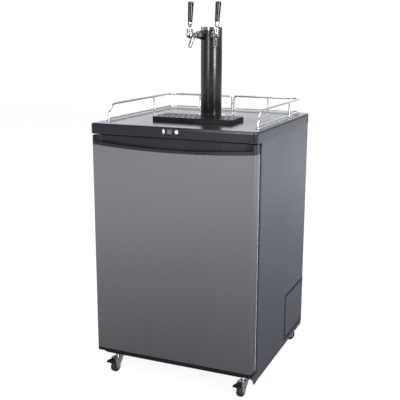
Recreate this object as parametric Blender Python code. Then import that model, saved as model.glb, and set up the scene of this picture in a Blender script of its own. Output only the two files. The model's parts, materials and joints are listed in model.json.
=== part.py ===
"""Full-size kegerator with a two-tap tower, a rolling cabinet and a guard rail.

Metres, +Z up, the door faces -Y. The origin is on the floor under the middle of the worktop.
Every length below is set once. Seats, holes and fits are worked out from those lengths.
"""

import math

import bmesh
import bpy
from mathutils import Matrix, Vector

# Clearances shared by all pieces
SEAT_GAP = 0.0003
RUNNING_GAP = 0.0004
OVERRUN = 0.003
MERGE_DISTANCE = 0.000001

# Facets of round pieces
FINE_STEPS = 32
ROUND_STEPS = 20
SMALL_STEPS = 12
BAR_SIDES = 8
CORNER_STEPS = 4

# Worktop: a moulded lid that overhangs the cabinet
WORKTOP_WIDTH = 0.600
WORKTOP_DEPTH = 0.625
WORKTOP_HEIGHT = 0.036
WORKTOP_CORNER = 0.014
WORKTOP_EDGE = 0.0075
LID_RECESS_DEPTH = 0.0015
LID_RECESS_HEIGHT = 0.0175
LID_RECESS_LENGTH = 0.162
LID_RECESS_FROM_BACK = 0.016
FRONT_OVERHANG = 0.0615
REAR_OVERHANG = 0.001
LINE_HOLE_RADIUS = 0.028

# Cabinet: sheet steel case round its insulation, the base pan under it and the kick plate
CABINET_WIDTH = 0.5932
CABINET_HEIGHT = 0.8267
CABINET_CORNER = 0.004
CASE_WALL = 0.001
SIDE_WALL = 0.050
TOP_WALL = 0.0555
REAR_WALL = 0.048
FLOOR_WALL = 0.0695
CAVITY_CORNER = 0.018
BASE_PAN_WALL = 0.003
BASE_PAN_INSET = 0.004
KICK_DEPTH = 0.006
KICK_RISE = 0.003
KICK_DROP = 0.002

# Machine bay at the lower rear, with its covers
BAY_DEPTH = 0.150
BAY_HEIGHT = 0.190
BAY_SIDE_WALL = 0.008
BAY_INSULATION = 0.040
BAY_CORNER = 0.006
COVER_WALL = 0.0025
COVER_DEPTH = 0.2395
COVER_TOP = 0.1947
COVER_BOTTOM = 0.0227
COVER_CORNER = 0.012
COVER_GAP = 0.0025
COVER_OPENING_MARGIN = 0.014
REAR_COVER_WALL = 0.0015
REAR_COVER_SETBACK = 0.006
VENT_ROWS = 8
VENT_COLUMNS = 3
VENT_HEIGHT = 0.005
VENT_PITCH = 0.018
VENT_LENGTH = 0.120
VENT_SPACING = 0.155

# Cord inlet bush in the rear cover
INLET_BORE = 0.0036
INLET_RADIUS = 0.0065
INLET_FLANGE_RADIUS = 0.0095
INLET_FLANGE_WALL = 0.0025
INLET_DEPTH = 0.012
INLET_FROM_SIDE = 0.040
INLET_FROM_PAN = 0.022

# Compressor on its rubber feet
COMPRESSOR_RADIUS = 0.050
COMPRESSOR_HEIGHT = 0.118
COMPRESSOR_DOME = 0.022
COMPRESSOR_PLATE_WALL = 0.003
COMPRESSOR_PLATE_SIDE = 0.106
COMPRESSOR_FOOT_RADIUS = 0.008
COMPRESSOR_FOOT_HEIGHT = 0.010
COMPRESSOR_X = 0.130
COMPRESSOR_BOX_SIZE = 0.034

# Condenser coil on two straps
CONDENSER_TUBE = 0.0025
CONDENSER_RUNS = 5
CONDENSER_PITCH = 0.022
CONDENSER_LENGTH = 0.200
CONDENSER_X = -0.120
CONDENSER_LIFT = 0.022
CONDENSER_FROM_BACK = 0.045
STRAP_WIDTH = 0.012
STRAP_WALL = 0.003
STRAP_FOOT = 0.024

# Inner liner, keg plate and cold plate
LINER_WALL = 0.002
LINER_FLANGE = 0.012
LINER_FLANGE_WALL = 0.0015
KEG_PLATE_WALL = 0.002
KEG_PLATE_MARGIN = 0.020
KEG_PLATE_CORNER = 0.015
COLD_PLATE_WIDTH = 0.360
COLD_PLATE_HEIGHT = 0.300
COLD_PLATE_WALL = 0.0015
COLD_PLATE_STANDOFF = 0.008
COLD_PLATE_FROM_TOP = 0.060
COLD_PLATE_CORNER = 0.010
COLD_CHANNEL = 0.003
COLD_CHANNEL_RUNS = 5
COLD_CHANNEL_MARGIN = 0.035
STANDOFF_RADIUS = 0.005
STANDOFF_MARGIN = 0.015

# Door
DOOR_WIDTH = 0.595
DOOR_THICKNESS = 0.035
DOOR_SETBACK = 0.0025
DOOR_TOP_GAP = 0.0055
DOOR_RISE = 0.0347
DOOR_CORNER = 0.011
DOOR_SKIN_WALL = 0.0012
DOOR_SKIN_RETURN = 0.010
DOOR_FACE_CORNER = 0.010
BOTTOM_CAP_HEIGHT = 0.011
TOP_CAP_HEIGHT_AT_ENDS = 0.031
TOP_CAP_SAG = 0.013
TOP_CAP_REACH = 0.020
DOOR_ARC_STEPS = 24
CAP_SEAM = 0.0004

# Handle scoop in the door's top cap
SCOOP_END_WALL = 0.008
SCOOP_END_RADIUS = 0.030
SCOOP_DEPTH = 0.020
SCOOP_LIP_WALL = 0.005
SCOOP_LIP_AT_ENDS = 0.0125
SCOOP_LIP_AT_CENTRE = 0.0095
SCOOP_GROOVE = 0.004
SCOOP_STATIONS = 26
SCOOP_END_SHARE = 0.92

# Door liner and gasket
DOOR_LINER_WALL = 0.002
DIKE_INSET = 0.012
DIKE_HEIGHT = 0.030
DIKE_WALL = 0.003
DIKE_CORNER = 0.020
GASKET_WIDTH = 0.018
GASKET_SIDE_INSET = 0.0175
GASKET_END_INSET = 0.003
GASKET_TOP_INSET = 0.0188
GASKET_GROOVE = 0.005
GASKET_GROOVE_DEPTH = 0.006
GASKET_CORNER = 0.010

# Door hinges
HINGE_FROM_EDGE = 0.0135
HINGE_FROM_BACK = 0.0075
PIN_RADIUS = 0.003
PIN_CLEARANCE = 0.0004
UPPER_PIN_LENGTH = 0.012
LOWER_PIN_LENGTH = 0.009
HINGE_PLATE = 0.003
HINGE_WIDTH = 0.030
HINGE_FLANGE_HEIGHT = 0.017
HINGE_NOSE = 0.009
LOWER_HINGE_DROP = 0.033
LOWER_HINGE_TIP_SETBACK = 0.020
LOWER_HINGE_NOSE = 0.018
LOWER_HINGE_FRONT_DROP = 0.008

# Control panel in the worktop's front
PANEL_WIDTH = 0.070
PANEL_HEIGHT = 0.0225
PANEL_WALL = 0.005
PANEL_CORNER = 0.003
PANEL_FROM_TOP = 0.0035
PANEL_SETBACK = 0.001
DISPLAY_WIDTH = 0.0175
DISPLAY_HEIGHT = 0.015
DISPLAY_WALL = 0.002
DISPLAY_X = -0.001
ARROW_WIDTH = 0.0075
ARROW_HEIGHT = 0.0165
ARROW_X = -0.022
ARROW_STEPS = 6
POWER_RADIUS = 0.0062
POWER_X = 0.024
BUTTON_WALL = 0.004
BUTTON_PROUD = 0.0008
BUTTON_GAP = 0.0005
BUTTON_TRAVEL = 0.001
BUTTON_ROOM = 0.001
BUTTON_ROOM_INSET = 0.0012
BUTTON_FLANGE = 0.0012
BUTTON_FLANGE_WALL = 0.001
ROCKER_ROOM = 0.0009

# Guard rail in two halves
RAIL_RADIUS = 0.0037
RAIL_HEIGHT = 0.0595
RAIL_SIDE_INSET = 0.029
RAIL_BACK_INSET = 0.037
RAIL_FRONT_INSET = 0.084
RAIL_FRONT_BEND = 0.050
RAIL_CORNER = 0.030
RAIL_END_BEND = 0.009
RAIL_SPLIT = 0.0095
RAIL_ROD_RADIUS = 0.0024
RAIL_ROD_LIFT = 0.007
RAIL_POST_RADIUS = 0.0022
RAIL_SIDE_POST_FROM_BACK = 0.1525
RAIL_BACK_POST_X = 0.143
RAIL_FOOT_RADIUS = 0.0065
RAIL_FOOT_HEIGHT = 0.004
RAIL_POST_FOOT_RADIUS = 0.004
RAIL_BEND_STEPS = 5

# Tower
TOWER_FROM_CENTRE = 0.045
TOWER_RADIUS = 0.0381
TOWER_WALL = 0.0026
TOWER_HEIGHT = 0.308
TOWER_CAP_HEIGHT = 0.012
TOWER_CAP_TOP_WALL = 0.003
TOWER_CAP_EDGE = 0.0015
TOWER_PLUG_HEIGHT = 0.004
TOWER_PLUG_WALL = 0.0024
FLANGE_RADIUS = 0.055
FLANGE_HEIGHT = 0.005
FLANGE_EDGE = 0.0015

# Faucets
FAUCET_ANGLE = math.radians(31.8)
RIGHT_FAUCET_LEAN = math.radians(4)
FAUCET_HEIGHT = 0.2914
FAUCET_REACH = 0.0953
COLLAR_RADIUS = 0.016
COLLAR_REACH = 0.0125
COLLAR_EDGE = 0.002
SHANK_RADIUS = 0.0105
SHANK_BORE = 0.0035
SHANK_START = 0.0215
SHANK_REACH = 0.060
SHANK_NUT_RADIUS = 0.0130
SHANK_NUT_START = 0.0262
SHANK_NUT_WALL = 0.006
COUPLING_RADIUS = 0.0135
COUPLING_LENGTH = 0.014
COUPLING_EDGE = 0.0015
COUPLING_NOTCHES = 6
BARREL_RADIUS = 0.0085
BARREL_NOSE = 0.0135
FAUCET_HEAD_RADIUS = 0.0115
FAUCET_HEAD_DROP = 0.009
BONNET_RADIUS = 0.0108
BONNET_TOP = 0.0220
BONNET_NECK_RADIUS = 0.0095
BONNET_NECK_HEIGHT = 0.010
BONNET_WALL = 0.0018
BONNET_CUP_DEPTH = 0.0122
SPOUT_TOP_RADIUS = 0.0085
SPOUT_TIP_RADIUS = 0.0064
SPOUT_BORE = 0.0042
SPOUT_LENGTH = 0.046
SPOUT_ROOT_SETBACK = 0.016
SPOUT_TILT = math.radians(22)

# Lever and handle, straight along their own axis
LEVER_PIVOT = 0.0160
LEVER_LEAN = math.radians(3)
LEVER_BALL = 0.0058
LEVER_NECK_RADIUS = 0.0032
LEVER_NECK_LENGTH = 0.0130
FERRULE_TIP_RADIUS = 0.0062
FERRULE_RADIUS = 0.0078
FERRULE_HEIGHT = 0.0157
HANDLE_STUD_RADIUS = 0.0040
HANDLE_STUD_LENGTH = 0.012
HANDLE_FOOT_RADIUS = 0.0080
HANDLE_TOP_RADIUS = 0.0103
HANDLE_HEIGHT = 0.0687
HANDLE_EDGE = 0.0025

# Drip tray and its lift-out grille
TRAY_WIDTH = 0.296
TRAY_DEPTH = 0.126
TRAY_HEIGHT = 0.0144
TRAY_FROM_TOWER = 0.085
TRAY_X = 0.011
TRAY_CORNER = 0.007
TRAY_WALL = 0.003
TRAY_FLOOR = 0.002
TRAY_REBATE = 0.0015
GRILLE_WALL = 0.002
GRILLE_EDGE_GAP = 0.0004
GRILLE_MARGIN = 0.007
GRILLE_SLOT_COLUMNS = 14
GRILLE_SLOT_ROWS = 4
GRILLE_SLOT_WIDTH = 0.0055
GRILLE_SLOT_BAR = 0.005
GRILLE_SLOT_LEAN_SHARE = 0.55

# Casters
CASTER_HEIGHT = 0.062
CASTER_OFFSET = 0.022
CASTER_X = 0.247
CASTER_FROM_FRONT = 0.0125
CASTER_FROM_BACK = 0.0495
FRONT_CASTER_TURN = math.radians(-12)
REAR_CASTER_TURN = math.radians(143)
WHEEL_RADIUS = 0.020
WHEEL_WIDTH = 0.018
WHEEL_EDGE = 0.003
WHEEL_HUB_RADIUS = 0.0075
WHEEL_RIM_RADIUS = 0.0155
WHEEL_DISH = 0.003
AXLE_RADIUS = 0.003
AXLE_HEAD_RADIUS = 0.0048
AXLE_HEAD_WALL = 0.001
FORK_WALL = 0.002
FORK_SIDE_GAP = 0.001
FORK_HEAD_RADIUS = 0.013
FORK_HEAD_HEIGHT = 0.005
FORK_STEM_RADIUS = 0.004
FORK_STEM_LENGTH = 0.016
FORK_BACK_REACH = 0.011
FORK_FRONT_REACH = 0.033
FORK_EYE_RADIUS = 0.0065
FORK_CORNER = 0.002

# Brake pedals on the front casters
PEDAL_PIVOT_REACH = 0.0285
PEDAL_PIVOT_DROP = 0.0063
PEDAL_PIN_RADIUS = 0.0018
PEDAL_BARREL_RADIUS = 0.0038
PEDAL_BARREL_GAP = 0.0005
PEDAL_LENGTH = 0.027
PEDAL_WIDTH = 0.025
PEDAL_WALL = 0.0035
PEDAL_TIP_WALL = 0.0055
PEDAL_SLOPE = math.radians(3)
PEDAL_ROOT = 0.006
PEDAL_CORNER = 0.0015

# Places worked out from the sizes above
WORKTOP_FRONT = -WORKTOP_DEPTH / 2
WORKTOP_BACK = WORKTOP_DEPTH / 2
CABINET_FRONT = WORKTOP_FRONT + FRONT_OVERHANG
CABINET_BACK = WORKTOP_BACK - REAR_OVERHANG
CABINET_HALF = CABINET_WIDTH / 2
PAN_TOP = CASTER_HEIGHT + BASE_PAN_WALL
CABINET_BOTTOM = PAN_TOP + SEAT_GAP
CABINET_TOP = CABINET_BOTTOM + CABINET_HEIGHT
WORKTOP_BOTTOM = CABINET_TOP + SEAT_GAP
WORKTOP_TOP = WORKTOP_BOTTOM + WORKTOP_HEIGHT
CAVITY_HALF = CABINET_HALF - SIDE_WALL
CAVITY_FLOOR = CABINET_BOTTOM + FLOOR_WALL
CAVITY_CEILING = CABINET_TOP - TOP_WALL
CAVITY_REAR = CABINET_BACK - REAR_WALL
BAY_FRONT = CABINET_BACK - BAY_DEPTH
BAY_TOP = CABINET_BOTTOM + BAY_HEIGHT
BAY_HALF = CABINET_HALF - BAY_SIDE_WALL
HUMP_FRONT = BAY_FRONT - BAY_INSULATION
HUMP_TOP = BAY_TOP + BAY_INSULATION
LINER_INSET = SEAT_GAP + LINER_WALL
DOOR_FRONT = WORKTOP_FRONT + DOOR_SETBACK
DOOR_BACK = DOOR_FRONT + DOOR_THICKNESS
DOOR_HALF = DOOR_WIDTH / 2
DOOR_TOP = WORKTOP_BOTTOM - DOOR_TOP_GAP
DOOR_BOTTOM = CABINET_BOTTOM + DOOR_RISE
HINGE_X = DOOR_HALF - HINGE_FROM_EDGE
HINGE_Y = DOOR_BACK - HINGE_FROM_BACK
TOWER_Y = TOWER_FROM_CENTRE
COLUMN_BOTTOM = WORKTOP_TOP + SEAT_GAP
COLUMN_TOP = COLUMN_BOTTOM + TOWER_HEIGHT
FAUCET_Z = COLUMN_BOTTOM + FAUCET_HEIGHT
PANEL_TOP = WORKTOP_TOP - PANEL_FROM_TOP
PANEL_Z = PANEL_TOP - PANEL_HEIGHT / 2
PANEL_FRONT = WORKTOP_FRONT + PANEL_SETBACK
PANEL_BACK = PANEL_FRONT + PANEL_WALL
AXLE_HEIGHT = WHEEL_RADIUS * math.cos(math.pi / ROUND_STEPS)
FORK_TOP = CASTER_HEIGHT - SEAT_GAP
FORK_PLATE_TOP = FORK_TOP - FORK_HEAD_HEIGHT
STEM_TOP = CASTER_HEIGHT + FORK_STEM_LENGTH

ALONG_X = Matrix.Rotation(math.pi / 2, 4, "Y")
ALONG_FRONT = Matrix.Rotation(math.pi / 2, 4, "X")


def clear_scene():
    for thing in list(bpy.data.objects):
        bpy.data.objects.remove(thing)


def finish(name, colour, roughness, metallic):
    """A plain coat of one colour."""
    material = bpy.data.materials.new(name)
    material.use_nodes = True
    shader = material.node_tree.nodes["Principled BSDF"]
    shader.inputs["Base Color"].default_value = (*colour, 1)
    shader.inputs["Roughness"].default_value = roughness
    shader.inputs["Metallic"].default_value = metallic
    return material


def joint_at(name, place, turn=0, parent=None, tilt=0, lean=0):
    """An empty on a joint's axis, which carries the pieces that move there."""
    empty = bpy.data.objects.new(name, None)
    bpy.context.scene.collection.objects.link(empty)
    empty.location = place
    empty.rotation_euler = (tilt, lean, turn)
    empty.parent = parent
    return empty


def solid(mesh):
    """An object that holds the mesh, with its faces pointing out."""
    bmesh.ops.recalc_face_normals(mesh, faces=mesh.faces)
    data = bpy.data.meshes.new("solid")
    mesh.to_mesh(data)
    mesh.free()
    piece = bpy.data.objects.new("solid", data)
    bpy.context.scene.collection.objects.link(piece)
    return piece


def loft(rings, closed=False):
    """A solid through rings of equally many points, capped at both ends unless it is closed."""
    mesh = bmesh.new()
    loops = [[mesh.verts.new(point) for point in ring] for ring in rings]
    pairs = list(zip(loops, loops[1:]))
    if closed:
        pairs.append((loops[-1], loops[0]))
    else:
        mesh.faces.new(loops[0])
        mesh.faces.new(loops[-1])
    for low, high in pairs:
        for index in range(len(low)):
            after = (index + 1) % len(low)
            mesh.faces.new((low[index], low[after], high[after], high[index]))
    return solid(mesh)


def prism(outline, axis, low, high):
    """The flat outline carried along one axis. An outline across X is (y, z), across Y (x, z), across Z (x, y)."""
    place = {
        "X": lambda level, first, second: (level, first, second),
        "Y": lambda level, first, second: (first, level, second),
        "Z": lambda level, first, second: (first, second, level),
    }[axis]
    return loft([[place(level, *point) for point in outline] for level in (low, high)])


def turned(profile, steps, ring=False):
    """The profile of (radius, height) points spun round Z. A ring's profile closes on itself."""
    mesh = bmesh.new()
    points = [mesh.verts.new((radius, 0, height)) for radius, height in profile]
    edges = [mesh.edges.new(pair) for pair in zip(points, points[1:])]
    if ring:
        edges.append(mesh.edges.new((points[-1], points[0])))
    bmesh.ops.spin(
        mesh, geom=points + edges, cent=(0, 0, 0), axis=(0, 0, 1), angle=2 * math.pi, steps=steps, use_merge=True
    )
    bmesh.ops.remove_doubles(mesh, verts=mesh.verts, dist=MERGE_DISTANCE)
    return solid(mesh)


def rod(radius, low, high, steps):
    return turned([(0, low), (radius, low), (radius, high), (0, high)], steps)


def swept(path, radius, sides=BAR_SIDES, turn_share=0):
    """A round bar along the path, each ring square to the path and turned by a share of one side."""
    points = [Vector(point) for point in path]
    across = Vector((0, 0, 1)).cross(points[1] - points[0])
    if across.length < MERGE_DISTANCE:
        across = Vector((1, 0, 0))
    rings = []
    for index, point in enumerate(points):
        ahead = points[min(index + 1, len(points) - 1)] - points[max(index - 1, 0)]
        ahead.normalize()
        across = (across - ahead * across.dot(ahead)).normalized()
        other = ahead.cross(across)
        angles = [2 * math.pi * (side + turn_share) / sides for side in range(sides)]
        rings.append([point + radius * (across * math.cos(a) + other * math.sin(a)) for a in angles])
    return loft(rings)


def rounded(corners, radii, steps=CORNER_STEPS):
    """The outline with each corner drawn as an arc of its radius."""
    if not isinstance(radii, (list, tuple)):
        radii = [radii] * len(corners)
    outline = []
    for index, radius in enumerate(radii):
        here = Vector(corners[index])
        before = (Vector(corners[index - 1]) - here).normalized()
        after = (Vector(corners[(index + 1) % len(corners)]) - here).normalized()
        if radius <= 0:
            outline.append(tuple(here))
            continue
        half = before.angle(after) / 2
        centre = here + (before + after).normalized() * radius / math.sin(half)
        arm = here + before * radius / math.tan(half) - centre
        way = -math.copysign(1, before.x * after.y - before.y * after.x)
        for step in range(steps + 1):
            turn = way * (math.pi - 2 * half) * step / steps
            outline.append(tuple(centre + Matrix.Rotation(turn, 2) @ arm))
    return outline


def rectangle(left, right, low, high):
    return [(left, low), (right, low), (right, high), (left, high)]


def bent_path(corners, radii, steps=RAIL_BEND_STEPS):
    """The path through the corners in space, each inner corner drawn as an arc of its radius."""
    path = [Vector(corners[0])]
    for index, radius in enumerate(radii, start=1):
        here = Vector(corners[index])
        before = (Vector(corners[index - 1]) - here).normalized()
        after = (Vector(corners[index + 1]) - here).normalized()
        half = before.angle(after) / 2
        centre = here + (before + after).normalized() * radius / math.sin(half)
        arm = here + before * radius / math.tan(half) - centre
        axis = after.cross(before)
        for step in range(steps + 1):
            path.append(centre + Matrix.Rotation((math.pi - 2 * half) * step / steps, 3, axis) @ arm)
    path.append(Vector(corners[-1]))
    return path


def combined(piece, others, operation):
    """The piece joined with or cut by the others, which are used up."""
    for other in others:
        step = piece.modifiers.new(operation.lower(), "BOOLEAN")
        step.operation = operation
        step.solver = "EXACT"
        step.object = other
    bpy.context.view_layer.update()
    graph = bpy.context.evaluated_depsgraph_get()
    result = bpy.data.meshes.new_from_object(piece.evaluated_get(graph))
    piece.modifiers.clear()
    piece.data = result
    for other in others:
        bpy.data.objects.remove(other)
    return piece


def fused(piece, *others):
    return combined(piece, others, "UNION")


def cut(piece, *cutters):
    return combined(piece, cutters, "DIFFERENCE")


def kept_inside(piece, *limits):
    return combined(piece, limits, "INTERSECT")


def moved(piece, place=(0, 0, 0), turn=None):
    """The piece with its mesh turned, then carried to the place."""
    matrix = Matrix.Translation(place)
    if turn is not None:
        matrix = matrix @ turn
    piece.data.transform(matrix)
    return piece


def named(piece, name, material, origin=(0, 0, 0), joint=None):
    """The finished sub-part. Its origin goes to the given place, or it stays in its joint's own frame."""
    piece.name = name
    piece.data.name = name
    piece.data.materials.clear()
    piece.data.materials.append(material)
    piece.data.shade_smooth()
    piece.data.set_sharp_from_angle(angle=math.radians(35))
    if joint is None:
        moved(piece, -Vector(origin))
        piece.location = origin
    else:
        piece.parent = joint
    return piece


def on_joint(piece, name, material, joint):
    """A sub-part made in place, put on a joint that isn't turned."""
    bpy.context.view_layer.update()
    moved(piece, -joint.matrix_world.translation)
    return named(piece, name, material, joint=joint)


def copied(piece, name, joint):
    """One more of a repeated sub-part, with the same mesh."""
    copy = bpy.data.objects.new(name, piece.data)
    bpy.context.scene.collection.objects.link(copy)
    copy.parent = joint
    return copy


def caster_places():
    """Name, pivot and turn of each caster: the front pair trails forward, the rear pair outward."""
    front = CABINET_FRONT + CASTER_FROM_FRONT
    back = CABINET_BACK - CASTER_FROM_BACK
    return [
        ("front_left", (-CASTER_X, front), FRONT_CASTER_TURN),
        ("front_right", (CASTER_X, front), FRONT_CASTER_TURN),
        ("rear_left", (-CASTER_X, back), -REAR_CASTER_TURN),
        ("rear_right", (CASTER_X, back), REAR_CASTER_TURN),
    ]


def cavity_outline(inset, front):
    """The keg space seen from the side: a step in the floor at the rear clears the machine bay."""
    corners = [
        (front, CAVITY_FLOOR + inset),
        (HUMP_FRONT - inset, CAVITY_FLOOR + inset),
        (HUMP_FRONT - inset, HUMP_TOP + inset),
        (CAVITY_REAR - inset, HUMP_TOP + inset),
        (CAVITY_REAR - inset, CAVITY_CEILING - inset),
        (front, CAVITY_CEILING - inset),
    ]
    inner = CAVITY_CORNER - inset
    outer = CAVITY_CORNER + inset
    return rounded(corners, [0, inner, outer, inner, inner, 0])


def line_hole(radius, low, high):
    """The straight way for the beer lines, from the keg space up into the tower."""
    return moved(rod(radius, low, high, ROUND_STEPS), (0, TOWER_Y, 0))


def cover_outline(grow, rear):
    front = CABINET_BACK - COVER_DEPTH - grow
    low = CABINET_BOTTOM + COVER_BOTTOM - grow
    high = CABINET_BOTTOM + COVER_TOP + grow
    corner = COVER_CORNER + grow
    return rounded(rectangle(front, rear, low, high), [corner / 2, 0, 0, corner])


def cabinet_block(inset):
    """The cabinet's outer form, or the same form this much smaller all round."""
    half = CABINET_HALF - inset
    plan = rectangle(-half, half, CABINET_FRONT + inset, CABINET_BACK - inset)
    outline = rounded(plan, CABINET_CORNER - inset)
    return prism(outline, "Z", CABINET_BOTTOM + inset, CABINET_TOP - inset)


def cabinet_cutters():
    """What both the case and its insulation leave free: keg space, machine bay, line hole, covers and sockets."""
    cavity = prism(cavity_outline(0, CABINET_FRONT - OVERRUN), "X", -CAVITY_HALF, CAVITY_HALF)
    bay_corners = rectangle(BAY_FRONT, CABINET_BACK + OVERRUN, CABINET_BOTTOM - OVERRUN, BAY_TOP)
    bay = prism(rounded(bay_corners, [0, 0, 0, BAY_CORNER]), "X", -BAY_HALF, BAY_HALF)
    cutters = [cavity, bay, line_hole(LINE_HOLE_RADIUS, CAVITY_CEILING - OVERRUN, CABINET_TOP + OVERRUN)]
    recess = CABINET_HALF - COVER_WALL - SEAT_GAP
    opening = rectangle(
        BAY_FRONT + COVER_OPENING_MARGIN,
        CABINET_BACK - COVER_OPENING_MARGIN,
        CABINET_BOTTOM + COVER_BOTTOM + COVER_OPENING_MARGIN,
        CABINET_BOTTOM + COVER_TOP - COVER_OPENING_MARGIN,
    )
    for side in (-1, 1):
        ends = sorted((side * recess, side * (CABINET_HALF + OVERRUN)))
        cutters.append(prism(cover_outline(COVER_GAP, CABINET_BACK + OVERRUN), "X", *ends))
        ends = sorted((side * (BAY_HALF - OVERRUN), side * (recess + CASE_WALL)))
        cutters.append(prism(opening, "X", *ends))
    for _, pivot, _ in caster_places():
        socket = rod(FORK_STEM_RADIUS + RUNNING_GAP, CABINET_BOTTOM - OVERRUN, STEM_TOP + RUNNING_GAP, SMALL_STEPS)
        cutters.append(moved(socket, (*pivot, 0)))
    return cutters


def cabinet_shell(material):
    """The sheet steel case, open at the keg space and at the machine bay."""
    piece = cut(cabinet_block(0), cabinet_block(CASE_WALL), *cabinet_cutters())
    return named(piece, "cabinet_shell", material, (0, 0, CABINET_BOTTOM))


def cabinet_core(material):
    """The foam between the case and the liner."""
    piece = cut(cabinet_block(CASE_WALL + SEAT_GAP), *cabinet_cutters())
    return named(piece, "cabinet_core", material, (0, 0, CABINET_BOTTOM))


def inner_liner(material):
    """A thin moulded tub with a flange that laps the cabinet's front face."""
    mouth = CABINET_FRONT - SEAT_GAP - LINER_FLANGE_WALL
    tub_half = CAVITY_HALF - SEAT_GAP
    tub = prism(cavity_outline(SEAT_GAP, mouth), "X", -tub_half, tub_half)
    flange_half = CAVITY_HALF + LINER_FLANGE
    flange_corners = rectangle(
        -flange_half, flange_half, CAVITY_FLOOR - LINER_FLANGE, CAVITY_CEILING + LINER_FLANGE
    )
    flange = prism(rounded(flange_corners, LINER_FLANGE), "Y", mouth, CABINET_FRONT - SEAT_GAP)
    inner_half = CAVITY_HALF - LINER_INSET
    hollow = prism(cavity_outline(LINER_INSET, mouth - OVERRUN), "X", -inner_half, inner_half)
    hole = line_hole(LINE_HOLE_RADIUS, CAVITY_CEILING - LINER_INSET - OVERRUN, CAVITY_CEILING + OVERRUN)
    piece = cut(fused(tub, flange), hollow, hole)
    return named(piece, "inner_liner", material, (0, mouth, CAVITY_FLOOR))


def keg_floor_plate(material):
    half = CAVITY_HALF - LINER_INSET - KEG_PLATE_MARGIN
    front = CABINET_FRONT + KEG_PLATE_MARGIN
    rear = HUMP_FRONT - LINER_INSET - KEG_PLATE_MARGIN
    low = CAVITY_FLOOR + LINER_INSET + SEAT_GAP
    outline = rounded(rectangle(-half, half, front, rear), KEG_PLATE_CORNER)
    return named(prism(outline, "Z", low, low + KEG_PLATE_WALL), "keg_floor_plate", material, (0, 0, low))


def cold_plate(material):
    """A flat plate on four studs, with one raised channel that runs to and fro over it."""
    back = CAVITY_REAR - LINER_INSET - SEAT_GAP
    rear = back - COLD_PLATE_STANDOFF
    front = rear - COLD_PLATE_WALL
    high = CAVITY_CEILING - COLD_PLATE_FROM_TOP
    low = high - COLD_PLATE_HEIGHT
    half = COLD_PLATE_WIDTH / 2
    plate = prism(rounded(rectangle(-half, half, low, high), COLD_PLATE_CORNER), "Y", front, rear)
    studs = []
    for x in (-half + STANDOFF_MARGIN, half - STANDOFF_MARGIN):
        for z in (low + STANDOFF_MARGIN, high - STANDOFF_MARGIN):
            stud = rod(STANDOFF_RADIUS, 0, COLD_PLATE_STANDOFF + COLD_PLATE_WALL / 2, BAR_SIDES)
            studs.append(moved(stud, (x, back, z), ALONG_FRONT))
    pitch = (COLD_PLATE_HEIGHT - 2 * COLD_CHANNEL_MARGIN) / (COLD_CHANNEL_RUNS - 1)
    corners = []
    for run in range(COLD_CHANNEL_RUNS):
        z = low + COLD_CHANNEL_MARGIN + run * pitch
        ends = [-half + COLD_CHANNEL_MARGIN, half - COLD_CHANNEL_MARGIN]
        if run % 2:
            ends.reverse()
        corners += [(x, front, z) for x in ends]
    channel = swept(bent_path(corners, [pitch / 2.2] * (len(corners) - 2), 3), COLD_CHANNEL, 6)
    piece = fused(plate, channel, *studs)
    return named(piece, "cold_plate", material, (0, back, low))


def worktop(material):
    """A lid with a rounded top edge, a hole for the lines, the panel's seat and a recess low on each side."""
    half = WORKTOP_WIDTH / 2
    rings = []
    for step in range(CORNER_STEPS + 1):
        angle = math.pi / 2 * step / CORNER_STEPS
        inset = WORKTOP_EDGE * (1 - math.cos(angle))
        level = WORKTOP_TOP - WORKTOP_EDGE * (1 - math.sin(angle))
        corners = rectangle(-half + inset, half - inset, WORKTOP_FRONT + inset, WORKTOP_BACK - inset)
        rings.append([(x, y, level) for x, y in rounded(corners, WORKTOP_CORNER - inset)])
    rings.insert(0, [(x, y, WORKTOP_BOTTOM) for x, y, _ in rings[0]])
    room = BUTTON_TRAVEL + BUTTON_ROOM
    seat_half = PANEL_WIDTH / 2 + SEAT_GAP
    seat_corners = rectangle(
        -seat_half, seat_half, PANEL_TOP - PANEL_HEIGHT - SEAT_GAP, PANEL_TOP + SEAT_GAP
    )
    seat = prism(
        rounded(seat_corners, PANEL_CORNER), "Y", WORKTOP_FRONT - OVERRUN, PANEL_BACK + SEAT_GAP
    )
    room_half = seat_half - PANEL_CORNER
    room_low, room_high = PANEL_TOP - PANEL_HEIGHT + BUTTON_ROOM_INSET, PANEL_TOP - BUTTON_ROOM_INSET
    room_corners = rectangle(-room_half, room_half, room_low, room_high)
    behind = prism(room_corners, "Y", WORKTOP_FRONT, PANEL_BACK + SEAT_GAP + room)
    hole = line_hole(LINE_HOLE_RADIUS, WORKTOP_BOTTOM - OVERRUN, WORKTOP_TOP + OVERRUN)
    recess_back = WORKTOP_BACK - LID_RECESS_FROM_BACK
    recess_corners = rectangle(
        recess_back - LID_RECESS_LENGTH, recess_back, WORKTOP_BOTTOM - OVERRUN, WORKTOP_BOTTOM + LID_RECESS_HEIGHT
    )
    bottom = half - LID_RECESS_DEPTH
    recesses = [
        prism(recess_corners, "X", -half - OVERRUN, -bottom),
        prism(recess_corners, "X", bottom, half + OVERRUN),
    ]
    return named(cut(loft(rings), seat, behind, hole, *recesses), "worktop", material, (0, 0, WORKTOP_BOTTOM))


def base_pan(material):
    half = CABINET_HALF - BASE_PAN_INSET
    front = CABINET_FRONT + BASE_PAN_INSET
    back = CABINET_BACK - BASE_PAN_INSET
    plate = prism(rounded(rectangle(-half, half, front, back), CABINET_CORNER), "Z", CASTER_HEIGHT, PAN_TOP)
    holes = []
    for _, pivot, _ in caster_places():
        hole = rod(FORK_STEM_RADIUS + RUNNING_GAP, CASTER_HEIGHT - OVERRUN, PAN_TOP + OVERRUN, SMALL_STEPS)
        holes.append(moved(hole, (*pivot, 0)))
    return named(cut(plate, *holes), "base_pan", material, (0, 0, CASTER_HEIGHT))


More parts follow.
